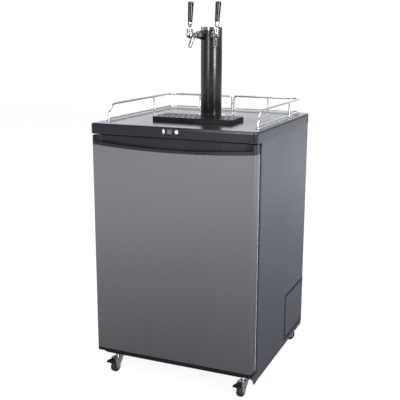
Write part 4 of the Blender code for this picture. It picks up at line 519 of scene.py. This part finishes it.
# DOOR
# A folded stainless skin with upright brush lines, a black moulding along its top that forms the finger
# scoop, a black strip below, a dark magnetic seal and a white inner sheet.
FINE_LINES = (2600, 2600, 14)
BROAD_LINES = (120, 120, 1.2)
LINE_RANGE = (0.25, 0.75)
FINE_SHARE = 0.65
BROAD_SHARE = 0.35
SMEAR = 0.02


def brushed_steel():
    """Upright brush lines: long thin streaks that shift the tone, the roughness and the height together."""
    tree, start, end = group(
        "brushed_steel",
        [
            ("Tone", (0.3, 0.3, 0.3)),
            ("Streak Tone", (0.4, 0.4, 0.4)),
            ("Smooth", 0.25),
            ("Rough", 0.4),
            ("Depth", 0.5),
        ],
        [("Color", "NodeSocketColor"), ("Roughness", "NodeSocketFloat"), ("Height", "NodeSocketFloat")],
    )
    place = tree.nodes.new("ShaderNodeTexCoord").outputs["Object"]
    fine = noise(tree, 1.0, 3, place, FINE_LINES)
    broad = noise(tree, 1.0, 2, place, BROAD_LINES)
    clouds = noise(tree, 3.0, 3, place)
    lines = tree.nodes.new("ShaderNodeMath")
    lines.operation = "MULTIPLY_ADD"
    tree.links.new(fine, lines.inputs[0])
    lines.inputs[1].default_value = FINE_SHARE
    tree.links.new(ranged(tree, broad, 0.0, BROAD_SHARE, 0.2, 0.8), lines.inputs[2])
    streak = ranged(tree, lines.outputs[0], 0.0, 1.0, *LINE_RANGE)
    tone = blended(tree, streak, start.outputs["Tone"], start.outputs["Streak Tone"])
    tree.links.new(tone, end.inputs["Color"])
    both = tree.nodes.new("ShaderNodeMath")
    both.operation = "ADD"
    rough = ranged(tree, lines.outputs[0], start.outputs["Smooth"], start.outputs["Rough"], *LINE_RANGE)
    tree.links.new(rough, both.inputs[0])
    tree.links.new(ranged(tree, clouds, -SMEAR, SMEAR), both.inputs[1])
    tree.links.new(both.outputs[0], end.inputs["Roughness"])
    rise = tree.nodes.new("ShaderNodeMath")
    rise.operation = "MULTIPLY"
    tree.links.new(fine, rise.inputs[0])
    tree.links.new(start.outputs["Depth"], rise.inputs[1])
    tree.links.new(rise.outputs[0], end.inputs["Height"])
    return tree


BRUSHED = brushed_steel()
door_steel = coat(
    "door_steel",
    BRUSHED,
    {"Metallic": 1.0, "Anisotropic": 0.4},
    bump_distance=0.00005,
    tone=(0.315, 0.298, 0.300),
    streak_tone=(0.338, 0.320, 0.321),
    smooth=0.27,
    rough=0.33,
    depth=0.35,
)
eased("door_panel", "door_skin", "door", door_steel, 0.0)
eased("door_top_cap", "scoop_moulding", "door", trim_plastic, 0.0008)
# The foot moulding wears the darker trim copy: painted shade.
eased("door_bottom_cap", "foot_moulding", "door", shaded_trim_plastic, 0.0006)

inner_white = coat(
    "inner_white",
    HANDLED,
    {"IOR": 1.5},
    tone=(0.74, 0.745, 0.75),
    worn_tone=(0.78, 0.785, 0.79),
    smooth=0.28,
    rough=0.40,
    cloud_scale=5.0,
    grain_scale=1200.0,
    grain_height=0.08,
)
eased("door_liner", "door_inner_sheet", "door", inner_white, 0.0010)

seal_rubber = coat(
    "seal_rubber",
    HANDLED,
    {"IOR": 1.5},
    tone=(0.016, 0.016, 0.018),
    worn_tone=(0.026, 0.026, 0.029),
    smooth=0.45,
    rough=0.62,
    cloud_scale=14.0,
    grain_scale=1800.0,
    grain_height=0.25,
)
eased("door_gasket", "door_seal", "door", seal_rubber, 0.0008)


# KEG SPACE
# A white moulded tub, a steel plate on its floor for the keg, and the cold plate on studs at its back,
# with the channel for the refrigerant raised in its sheet.
eased("inner_liner", "tub", "cabinet", inner_white, 0.0008)
floor_steel = coat(
    "floor_plate_steel",
    BRUSHED,
    {"Metallic": 1.0},
    bump_distance=0.00005,
    tone=(0.50, 0.50, 0.51),
    streak_tone=(0.60, 0.60, 0.61),
    smooth=0.28,
    rough=0.40,
    depth=0.6,
)
eased("keg_floor_plate", "keg_plate", "cabinet", floor_steel, 0.0005)
cold_metal = coat(
    "cold_plate_metal",
    HANDLED,
    {"Metallic": 1.0},
    tone=(0.70, 0.71, 0.72),
    worn_tone=(0.78, 0.79, 0.80),
    smooth=0.30,
    rough=0.42,
    cloud_scale=12.0,
    grain_scale=1500.0,
    grain_height=0.2,
)
eased("cold_plate", "cold_sheet", "cabinet", cold_metal, 0.0003)


# MACHINE BAY
# The compressor and the condenser coil stand behind the vented back, and a bush lines the cord's way in.
for node in ("compressor", "condenser_coil"):
    eased(node, node + "_painted", "cabinet", enamel, 0.0)
eased("cord_inlet", "inlet_bush", "cabinet", trim_plastic, 0.0004)


# HINGES
# Black steel brackets screwed to the cabinet's face. The lower one is folded and has a pointed side web.
eased("upper_hinge", "upper_bracket", "cabinet", enamel, 0.0005)
eased("lower_hinge", "lower_bracket", "cabinet", enamel, 0.0005)


# CONTROL PANEL
# A glossy black strip let into the worktop's front: a lens-shaped rocker, a small window and a round button.
panel_gloss = coat(
    "panel_gloss",
    HANDLED,
    {"IOR": 1.5, "Coat Weight": 0.6, "Coat Roughness": 0.05},
    tone=(0.008, 0.008, 0.010),
    worn_tone=(0.012, 0.012, 0.014),
    smooth=0.10,
    rough=0.18,
    cloud_scale=30.0,
    grain_scale=2500.0,
    grain_height=0.02,
)
eased("control_panel", "control_strip", "cabinet", panel_gloss, 0.0003)
button_white = coat(
    "button_white",
    HANDLED,
    {"IOR": 1.5},
    tone=(0.80, 0.80, 0.80),
    worn_tone=(0.84, 0.84, 0.84),
    smooth=0.22,
    rough=0.32,
    cloud_scale=80.0,
    grain_scale=2500.0,
    grain_height=0.05,
)
eased("arrow_button", "arrow_rocker_cap", "arrow_rocker", button_white, 0.0003)
eased("power_button", "power_cap", "power_press", button_white, 0.0003)
window_lens = coat(
    "window_lens",
    HANDLED,
    {"IOR": 1.5, "Coat Weight": 1.0, "Coat Roughness": 0.03},
    tone=(0.075, 0.078, 0.085),
    worn_tone=(0.12, 0.125, 0.13),
    smooth=0.08,
    rough=0.12,
    cloud_scale=160.0,
    grain_scale=2500.0,
    grain_height=0.0,
)
eased("display_window", "window", "cabinet", window_lens, 0.0003)


# GUARD RAIL
# Two halves of polished tube bent from one length each, with a thin rod low down, thin posts between
# and round feet screwed to the worktop.
def unit(vectors):
    return vectors / np.maximum(np.linalg.norm(vectors, axis=-1, keepdims=True), 1e-12)


def softened(corners, radius, steps=5):
    """Each corner P swapped for an arc. With A and B the points where the arc leaves the two sides and w
    the sine of half the corner's angle, the arc is the sum (1-t)^2 A + 2wt(1-t) P + t^2 B over the same
    sum of its three weights, for t from 0 to 1."""
    corners = np.asarray(corners, float)
    before = unit(np.roll(corners, 1, axis=0) - corners)
    after = unit(np.roll(corners, -1, axis=0) - corners)
    half = np.arccos(np.clip((before * after).sum(axis=1), -1, 1)) / 2
    reach = np.broadcast_to(np.asarray(radius, float), half.shape) / np.maximum(np.tan(half), 1e-9)
    start = (corners + before * reach[:, None])[:, None]
    end = (corners + after * reach[:, None])[:, None]
    t = np.linspace(0, 1, steps + 1)[None, :, None]
    middle = 2 * np.sin(half)[:, None, None] * t * (1 - t)
    weights = (1 - t) ** 2 + middle + t**2
    arcs = ((1 - t) ** 2 * start + middle * corners[:, None] + t**2 * end) / weights
    return arcs.reshape(-1, corners.shape[1])


def distinct(points):
    """The points without those that repeat the one before."""
    keep = np.ones(len(points), bool)
    keep[1:] = np.linalg.norm(np.diff(points, axis=0), axis=1) > 1e-7
    return points[keep]


def skin(rings, closed=False):
    """A closed mesh over a grid of points. Point (i, j) is joined to (i, j+1), (i+1, j+1) and (i+1, j), the
    columns run round, and the first and last rows are capped, or joined to each other when closed."""
    rings = np.asarray(rings, float)
    rows, sides = rings.shape[:2]
    index = np.arange(rows * sides).reshape(rows, sides)
    above = np.roll(index, -1, axis=0)
    spans = rows if closed else rows - 1
    beside, across = np.roll(index, -1, axis=1), np.roll(above, -1, axis=1)
    quads = np.stack([index[:spans], beside[:spans], across[:spans], above[:spans]], axis=-1)
    faces = quads.reshape(-1, 4).tolist()
    if not closed:
        faces += [index[0].tolist(), index[-1].tolist()]
    mesh = bpy.data.meshes.new("skin")
    mesh.from_pydata(rings.reshape(-1, 3), [], faces)
    work = bmesh.new()
    work.from_mesh(mesh)
    bmesh.ops.remove_doubles(work, verts=work.verts, dist=0.000001)
    bmesh.ops.recalc_face_normals(work, faces=work.faces)
    work.to_mesh(mesh)
    work.free()
    return mesh


def tube(path, radius, sides=14, reference=(1.0, 1.0, 1.0)):
    """A round bar: at each point of the path, centre + radius * (cos a * across + sin a * other), where
    across is the path's direction crossed with the reference and other is that crossed with the direction."""
    path = distinct(np.asarray(path, float))
    ahead = unit(np.gradient(path, axis=0))
    across = unit(np.cross(ahead, reference))
    other = np.cross(across, ahead)
    angle = np.linspace(0, 2 * np.pi, sides, endpoint=False)[None, :, None]
    radius = np.broadcast_to(np.asarray(radius, float), len(path))[:, None, None]
    return skin(path[:, None] + radius * (np.cos(angle) * across[:, None] + np.sin(angle) * other[:, None]))


def turned(profile, steps=48, closed=False, place=(0, 0, 0), turn=None):
    """A body of revolution: the profile's (radius, height) points taken to (r cos a, r sin a, h) round Z,
    then turned and carried to its place."""
    profile = distinct(np.asarray(profile, float))
    angle = np.linspace(0, 2 * np.pi, steps, endpoint=False)
    rings = np.stack(
        [
            profile[:, :1] * np.cos(angle),
            profile[:, :1] * np.sin(angle),
            np.broadcast_to(profile[:, 1:], (len(profile), steps)),
        ],
        axis=-1,
    )
    mesh = skin(rings, closed)
    if turn is not None:
        mesh.transform(turn)
    mesh.transform(Matrix.Translation(place))
    return mesh


def together(meshes):
    """Several closed meshes as one."""
    work = bmesh.new()
    for mesh in meshes:
        work.from_mesh(mesh)
    result = bpy.data.meshes.new("together")
    work.to_mesh(result)
    work.free()
    return result


rail_chrome = coat(
    "rail_chrome",
    HANDLED,
    {"Metallic": 1.0},
    tone=(0.80, 0.80, 0.81),
    worn_tone=(0.86, 0.86, 0.87),
    smooth=0.10,
    rough=0.18,
    cloud_scale=40.0,
    grain_scale=1800.0,
    grain_height=0.0,
)
RAIL_TUBE = 0.0037
RAIL_ROD = 0.0024
RAIL_POST = 0.0022
RAIL_FOOT = 0.0065
RAIL_FOOT_TALL = 0.004
RAIL_BENDS = [0, 0.050, 0.030, 0.009, 0]
RAIL_ROD_BENDS = [0, 0.030, 0]
RAIL_ROD_LIFT = 0.007
RAIL_END_X = 0.00475
RAIL_END_FOOT = 0.00445
POST_FOOT = 0.004
SIDE_POST_FROM_BACK = 0.1525
BACK_POST_X = 0.143
for side in ("left", "right"):
    low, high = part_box(side + "_rail")
    sign = -1 if side == "left" else 1
    x = sign * (max(abs(low[0]), abs(high[0])) - RAIL_TUBE)
    end_x = sign * RAIL_END_X
    front_y = low[1] + RAIL_FOOT
    back_y = high[1] - RAIL_TUBE
    floor_z = low[2]
    top_z = high[2] - RAIL_TUBE
    start_z = floor_z + RAIL_FOOT_TALL / 2
    corners = [
        (x, front_y, start_z),
        (x, front_y, top_z),
        (x, back_y, top_z),
        (end_x, back_y, top_z),
        (end_x, back_y, start_z),
    ]
    top_tube = tube(softened(corners, RAIL_BENDS, 9), RAIL_TUBE, 16)
    rod_z = floor_z + RAIL_ROD_LIFT
    rod_corners = [(x, front_y, rod_z), (x, back_y, rod_z), (end_x, back_y, rod_z)]
    low_rod = tube(softened(rod_corners, RAIL_ROD_BENDS, 8), RAIL_ROD, 10)
    parts = [top_tube, low_rod]
    foot_z = floor_z + RAIL_FOOT_TALL
    foot = softened(
        [(0, floor_z), (RAIL_FOOT, floor_z), (RAIL_FOOT, foot_z), (0, foot_z)], [0, 0.0004, 0.0014, 0]
    )
    parts.append(turned(foot, 28, place=(x, front_y, 0)))
    parts.append(turned(foot * (RAIL_END_FOOT / RAIL_FOOT, 1), 24, place=(end_x, back_y, 0)))
    for place in ((x, back_y - SIDE_POST_FROM_BACK, 0), (sign * BACK_POST_X, back_y, 0)):
        post = softened(
            [
                (0, floor_z),
                (POST_FOOT, floor_z),
                (POST_FOOT, foot_z),
                (RAIL_POST, foot_z),
                (RAIL_POST, top_z),
                (0, top_z),
            ],
            [0, 0.0004, 0.0008, 0.0004, 0, 0],
        )
        parts.append(turned(post, 14, place=place))
    rail = placed(together(parts), side + "_guard", "cabinet", rail_chrome, 40)
    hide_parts(side + "_rail")


# SIDE COVER SEAM SHADE AND SCREWS
# A black strip, T-shaped in section, sits in the gap round each side cover and laps over it: painted shade
# for the seam's shadow, wider than the gap. Three pan head screws with crossed slots hold the cover on the
# case.
# Painted shade: a matte black material for the strip that stands for the shadow in each cover's seam.
painted_seam_shade = coat(
    "painted_seam_shade",
    HANDLED,
    {"IOR": 1.3},
    tone=(0.003, 0.003, 0.004),
    worn_tone=(0.006, 0.006, 0.007),
    smooth=0.80,
    rough=0.95,
    cloud_scale=60.0,
    grain_scale=1500.0,
    grain_height=0.6,
)
screw_black = coat(
    "blackened_screw",
    HANDLED,
    {"Metallic": 1.0},
    tone=(0.10, 0.10, 0.11),
    worn_tone=(0.16, 0.16, 0.17),
    smooth=0.25,
    rough=0.35,
    cloud_scale=200.0,
    grain_scale=2500.0,
    grain_height=0.05,
)
COVER_GAP = 0.0025
COVER_CORNER = 0.012
SEAM_SHADE_STEM = 0.0010
SEAM_SHADE_LIP = 0.0032
SEAM_SHADE_RISE = 0.0008
SEAM_SHADE_PLAY = 0.0001
SEAM_SHADE_BACK_INSET = 0.0005
SEAM_SHADE_STRAIGHT = 0.2
SCREW_R = 0.0038
SCREW_TALL = 0.0016
SCREW_RINGS = np.array([0.02, 0.1, 0.2, 0.28, 0.36, 0.44, 0.52, 0.58, 0.66, 0.78, 0.88, 0.95, 1.0])
SCREW_PLACES = ((0.035, 0.160), (0.035, 0.012), (0.222, 0.012))


def moulding(path, across, up, profile):
    """A profile carried along a path: at each point of the path, centre + u * across + v * up for every
    point (u, v) of the profile."""
    sideways = profile[None, :, :1] * across[:, None]
    return skin(path[:, None] + sideways + profile[None, :, 1:] * np.asarray(up))


def screw_head(radius, tall, steps=32):
    """A pan head with crossed slots: rings of (radius cos a, radius sin a) whose height falls off as a
    circle's arc towards the rim, and drops by the slot's depth where |x| or |y| is under its half width."""
    turns = np.linspace(0, 2 * np.pi, steps * 4, endpoint=False)
    shares = SCREW_RINGS[:, None]
    x = radius * shares * np.cos(turns)
    y = radius * shares * np.sin(turns)
    height = tall * (0.45 + 0.55 * np.sqrt(1 - 0.98 * shares**2)) + 0 * turns
    slot = (np.minimum(np.abs(x), np.abs(y)) < 0.11 * radius) & (shares < 0.6)
    height = np.where(slot, height - 0.45 * tall, height)
    top = np.stack([x, y, height], axis=-1)
    foot = np.stack([x[-1], y[-1], 0 * turns], axis=-1)[None]
    return skin(np.concatenate([top, foot]))


for side, sign in (("left", -1), ("right", 1)):
    low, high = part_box(side + "_side_cover")
    face = sign * max(abs(low[0]), abs(high[0]))
    inner = sign * min(abs(low[0]), abs(high[0]))
    half_gap = COVER_GAP / 2
    front, foot, top = low[1] - half_gap, low[2] - half_gap, high[2] + half_gap
    inboard = front + SEAM_SHADE_STRAIGHT
    bend = COVER_CORNER + half_gap
    outline = softened(
        [(inboard, foot, 0), (front, foot, 0), (front, top, 0), (inboard, top, 0)], [0, bend, bend, 0], 8
    )
    outline = np.stack([np.full(len(outline), inner), outline[:, 0], outline[:, 1]], axis=1)
    outline[[0, -1], 1] = high[1] - SEAM_SHADE_BACK_INSET
    ahead = unit(np.gradient(outline, axis=0))
    across = unit(np.cross(ahead, (1.0, 0, 0)))
    lip_low = abs(face - inner) + SEAM_SHADE_PLAY
    lip_high = abs(face - inner) + SEAM_SHADE_RISE
    section = softened(
        [
            (-SEAM_SHADE_STEM, SEAM_SHADE_PLAY),
            (SEAM_SHADE_STEM, SEAM_SHADE_PLAY),
            (SEAM_SHADE_STEM, lip_low),
            (SEAM_SHADE_LIP, lip_low),
            (SEAM_SHADE_LIP, lip_high),
            (-SEAM_SHADE_LIP, lip_high),
            (-SEAM_SHADE_LIP, lip_low),
            (-SEAM_SHADE_STEM, lip_low),
        ],
        [0, 0, 0, 0.0001, 0.0006, 0.0006, 0.0001, 0],
        3,
    )
    # Painted shade: the black strip stands for the shadow in the cover's seam.
    seam_shade = moulding(outline, across, (sign, 0, 0), section)
    placed(seam_shade, side + "_cover_seam_shade", "cabinet", painted_seam_shade)
    for number, (back, rise) in enumerate(SCREW_PLACES, 1):
        head = screw_head(SCREW_R, SCREW_TALL)
        head.transform(Matrix.Rotation(sign * math.pi / 2, 4, "Y"))
        head.transform(Matrix.Translation((face, high[1] - back, low[2] + rise)))
        placed(head, "%s_cover_screw_%d" % (side, number), "cabinet", screw_black, 25)


# TOWER
# A three inch steel column in black powder coat on a polished flange, closed by a polished lift-off cap.
tower_coat = coat(
    "tower_powder_coat",
    HANDLED,
    {"IOR": 1.5},
    tone=(0.010, 0.010, 0.011),
    worn_tone=(0.014, 0.014, 0.015),
    smooth=0.22,
    rough=0.28,
    cloud_scale=8.0,
    grain_scale=1500.0,
    grain_height=0.15,
)
# Painted shade: a darker copy of the rail's chrome for the tower's flange and cap and the taps, standing for
# the darker surroundings they reflect.
shaded_chrome = coat(
    "shaded_tap_chrome",
    HANDLED,
    {"Metallic": 1.0},
    tone=(0.44, 0.425, 0.41),
    worn_tone=(0.53, 0.51, 0.49),
    smooth=0.08,
    rough=0.16,
    cloud_scale=60.0,
    grain_scale=1800.0,
    grain_height=0.0,
)
low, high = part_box("tower_column")
TOWER_R = (high[0] - low[0]) / 2
tower_y = (low[1] + high[1]) / 2
tower_low, tower_high = low[2], high[2]
TOWER_WALL = 0.0026
TOWER_STEPS = 96
SEAT_GAP = 0.0003
FLANGE_R = 0.055
FLANGE_BEVEL = 0.0015
CAP_PLUG_GAP = 0.0004
CAP_PLUG_WALL = 0.0024
CAP_PLATE = 0.003
bore = TOWER_R - TOWER_WALL
column_profile = softened(
    [(bore, tower_low), (TOWER_R, tower_low), (TOWER_R, tower_high), (bore, tower_high)], [0.0002] * 4, 2
)
column = turned(column_profile, TOWER_STEPS, closed=True, place=(0, tower_y, 0))
piece = placed(column, "column", "cabinet", tower_coat)
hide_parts("tower_column")

flange_low, flange_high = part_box("tower_flange")[0][2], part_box("tower_flange")[1][2]
flange_profile = softened(
    [
        (TOWER_R + SEAT_GAP, flange_low),
        (FLANGE_R, flange_low),
        (FLANGE_R, flange_high - FLANGE_BEVEL),
        (FLANGE_R - FLANGE_BEVEL, flange_high),
        (TOWER_R + SEAT_GAP, flange_high),
    ],
    [0, 0.0003, 0.0008, 0.0008, 0.0006],
)
flange = turned(flange_profile, TOWER_STEPS, closed=True, place=(0, tower_y, 0))
piece = placed(flange, "foot_flange", "cabinet", shaded_chrome)
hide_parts("tower_flange")

cap_low, cap_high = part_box("tower_cap")[0][2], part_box("tower_cap")[1][2]
rim_low = tower_high + SEAT_GAP
plug = bore - CAP_PLUG_GAP
cap_profile = softened(
    [
        (0, cap_high - CAP_PLATE),
        (plug - CAP_PLUG_WALL, cap_high - CAP_PLATE),
        (plug - CAP_PLUG_WALL, cap_low),
        (plug, cap_low),
        (plug, rim_low),
        (TOWER_R, rim_low),
        (TOWER_R, cap_high),
        (0, cap_high),
    ],
    [0, 0, 0.0003, 0.0003, 0, 0.0004, 0.0022, 0],
)
cap = turned(cap_profile, TOWER_STEPS, place=(0, tower_y, 0))
piece = placed(cap, "top_cap", "cap", shaded_chrome)
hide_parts("tower_cap")


# FAUCETS
# Chromed brass: a notched coupling nut on the shank, a barrel, a head with an open bonnet and a slanted
# spout. The lever's ball sits in the bonnet. A turned black grip screws onto the lever's stud.
TAP_ANGLE = math.radians(31.8)
RIGHT_TAP_LEAN = math.radians(4)
TAP_REACH = 0.0953
TAP_HEIGHT = 1.2200
PIVOT_RISE = 0.0160
LEVER_TILT = math.radians(3)
SPOUT_SLANT = math.radians(22)
BARREL_NOSE = 0.0135
ALONG_FRONT = Matrix.Rotation(math.pi / 2, 4, "X")


def fused(meshes):
    """The closed meshes as one closed surface, joined where they run through each other."""
    carrier = bpy.data.objects.new("carrier", meshes[0])
    bpy.context.scene.collection.objects.link(carrier)
    extras = []
    for mesh in meshes[1:]:
        extra = bpy.data.objects.new("extra", mesh)
        bpy.context.scene.collection.objects.link(extra)
        union = carrier.modifiers.new("union", "BOOLEAN")
        union.operation = "UNION"
        union.solver = "EXACT"
        union.object = extra
        extras.append(extra)
    bpy.context.view_layer.update()
    finished = carrier.evaluated_get(bpy.context.evaluated_depsgraph_get())
    result = bpy.data.meshes.new_from_object(finished)
    for spent in [carrier, *extras]:
        bpy.data.objects.remove(spent)
    return result


grip_gloss = coat(
    "grip_gloss",
    HANDLED,
    {"IOR": 1.5},
    tone=(0.005, 0.005, 0.006),
    worn_tone=(0.008, 0.008, 0.009),
    smooth=0.16,
    rough=0.20,
    cloud_scale=40.0,
    grain_scale=1500.0,
    grain_height=0.0,
)

body_parts = [
    (
        [
            (0, 0.0603),
            (0.0085, 0.0603),
            (0.0085, 0.0700),
            (0.0094, 0.0712),
            (0.0094, 0.0738),
            (0.0085, 0.0750),
            (0.0085, TAP_REACH + BARREL_NOSE - 0.0045),
            (0.0050, TAP_REACH + BARREL_NOSE),
            (0, TAP_REACH + BARREL_NOSE),
        ],
        [0, 0.0004, 0.0006, 0.0006, 0.0006, 0.0006, 0.003, 0.003, 0],
        ALONG_FRONT,
        (0, 0, 0),
    ),
    (
        [
            (0, -0.0132),
            (0.0085, -0.0090),
            (0.0115, -0.0045),
            (0.0115, 0.0050),
            (0.0095, 0.0085),
            (0.0095, 0.0100),
            (0.0108, 0.0118),
            (0.0108, 0.0210),
            (0.0100, 0.0220),
            (0.0090, 0.0218),
            (0.0090, 0.0135),
            (0.0072, 0.0098),
            (0, 0.0098),
        ],
        [0, 0.002, 0.003, 0.003, 0.0008, 0.0006, 0.0006, 0.0008, 0.0004, 0.0003, 0.0012, 0.001, 0],
        None,
        (0, -TAP_REACH, 0),
    ),
    (
        [
            (0, -0.030),
            (0.0042, -0.030),
            (0.0042, -0.0458),
            (0.0064, -0.0460),
            (0.0066, -0.0430),
            (0.0074, -0.0250),
            (0.0088, 0.0),
            (0, 0.001),
        ],
        [0, 0, 0.0004, 0.0008, 0.0006, 0.006, 0.002, 0],
        Matrix.Rotation(-SPOUT_SLANT, 4, "X"),
        (0, -TAP_REACH + 0.016, 0),
    ),
]
lever_profile = softened(
    [
        (0, -0.0058),
        (0.0034, -0.0050),
        (0.0058, 0.0),
        (0.0050, 0.0036),
        (0.0032, 0.0052),
        (0.0030, 0.0100),
        (0.0042, 0.0128),
        (0.0061, 0.0131),
        (0.0062, 0.0160),
        (0.0070, 0.0168),
        (0.0078, 0.0286),
        (0.0074, 0.0290),
        (0.0040, 0.0290),
        (0.0040, 0.0410),
        (0, 0.0410),
    ],
    [0, 0.001, 0.003, 0.001, 0.001, 0.002, 0.0008, 0.0004, 0.0005, 0.0006, 0.0005, 0.0002, 0, 0.0004, 0],
    4,
)
grip_profile = softened(
    [
        (0, 0.0412),
        (0.0043, 0.0412),
        (0.0043, 0.0292),
        (0.0078, 0.0292),
        (0.0081, 0.0330),
        (0.0091, 0.0600),
        (0.0103, 0.0950),
        (0.0088, 0.0975),
        (0, 0.0977),
    ],
    [0, 0, 0.0003, 0.0006, 0.003, 0.01, 0.0012, 0.004, 0],
    5,
)
# The taps' chrome parts wear the darker chrome copy: painted shade.
for side, sign in (("left", -1), ("right", 1)):
    seat = Matrix.Translation((0, tower_y, TAP_HEIGHT)) @ Matrix.Rotation(sign * TAP_ANGLE, 4, "Z")
    eased(side + "_collar", side + "_rosette", "cabinet", trim_plastic, 0.0006)
    eased(side + "_shank", side + "_shank_tube", "cabinet", shaded_chrome, 0.0003)
    eased(side + "_coupling_nut", side + "_coupling", "cabinet", shaded_chrome, 0.0003)
    meshes = [
        turned(softened(corners, radii, 4), 40, place=place, turn=turn)
        for corners, radii, turn, place in body_parts
    ]
    body_mesh = fused(meshes)
    if side == "right":
        seat = seat @ Matrix.Rotation(RIGHT_TAP_LEAN, 4, "Y")
    body_mesh.transform(seat)
    piece = placed(body_mesh, side + "_faucet_body", "cabinet", shaded_chrome, 38)
    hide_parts(side + "_faucet")
    pivot = Matrix.Translation((0, -TAP_REACH, PIVOT_RISE))
    tilt = seat @ pivot @ Matrix.Rotation(-LEVER_TILT, 4, "X")
    lever_mesh = turned(lever_profile, 36)
    lever_mesh.transform(tilt)
    piece = placed(lever_mesh, side + "_lever_bar", side + "_tap", shaded_chrome)
    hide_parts(side + "_lever")
    grip_mesh = turned(grip_profile, 40)
    grip_mesh.transform(tilt)
    piece = placed(grip_mesh, side + "_grip", side + "_tap", grip_gloss)
    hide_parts(side + "_handle")


# DRIP TRAY
# A black moulded basin that lifts off the worktop, with a lift-out grille pierced in slanting rows.
tray_plastic = coat(
    "tray_plastic",
    HANDLED,
    {"IOR": 1.28},
    tone=(0.004, 0.004, 0.005),
    worn_tone=(0.006, 0.006, 0.007),
    smooth=0.26,
    rough=0.36,
    cloud_scale=14.0,
    grain_scale=1600.0,
    grain_height=0.15,
)
eased("drip_tray", "basin_wall", "tray", tray_plastic, 0.0008)
eased("drip_tray_floor", "basin_floor", "tray", tray_plastic, 0.0003)
eased("drip_grille", "grille_plate", "grille", tray_plastic, 0.0003)


# CASTERS
# Swivel casters: a plated pressed fork with its stem, a black moulded wheel with a sunk web and a hub, and
# on the front pair a black brake pedal to tread on.
tyre_rubber = coat(
    "tyre_rubber",
    HANDLED,
    {"IOR": 1.5},
    tone=(0.012, 0.012, 0.013),
    worn_tone=(0.026, 0.025, 0.024),
    smooth=0.38,
    rough=0.55,
    cloud_scale=120.0,
    grain_scale=1800.0,
    grain_height=0.2,
)
WHEEL_FIT = 0.98
wheel_profile = softened(
    [
        (0.0034, -0.009),
        (0.0075, -0.009),
        (0.0078, -0.0062),
        (0.0150, -0.0060),
        (0.0158, -0.0088),
        (0.0178, -0.0090),
        (0.0199, -0.0062),
        (0.0200, 0.0),
        (0.0199, 0.0062),
        (0.0178, 0.0090),
        (0.0158, 0.0088),
        (0.0150, 0.0060),
        (0.0078, 0.0062),
        (0.0075, 0.009),
        (0.0034, 0.009),
    ],
    [0, 0.0005, 0.0008, 0.0008, 0.0005, 0.001, 0.002, 0, 0.002, 0.001, 0.0005, 0.0008, 0.0008, 0.0005, 0],
    3,
) * (WHEEL_FIT, 1)
for corner_name in ("front_left", "front_right", "rear_left", "rear_right"):
    eased(corner_name + "_fork", corner_name + "_bracket", corner_name + "_swivel", zinc_coat, 0.0004)
    joint = next(j for j in frame["joints"] if j["name"] == corner_name + "_roll")
    axis = Vector(joint["axis"])
    wheel = turned(wheel_profile, 56, closed=True)
    wheel.transform(axis.to_track_quat("Z", "Y").to_matrix().to_4x4())
    wheel.transform(Matrix.Translation(joint["pos_m"]))
    piece = placed(wheel, corner_name + "_tyre", corner_name + "_roller", tyre_rubber)
    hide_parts(corner_name + "_wheel")
for corner_name in ("front_left", "front_right"):
    pedal = corner_name + "_pedal"
    eased(corner_name + "_brake", corner_name + "_tread", pedal, trim_plastic, 0.0005)
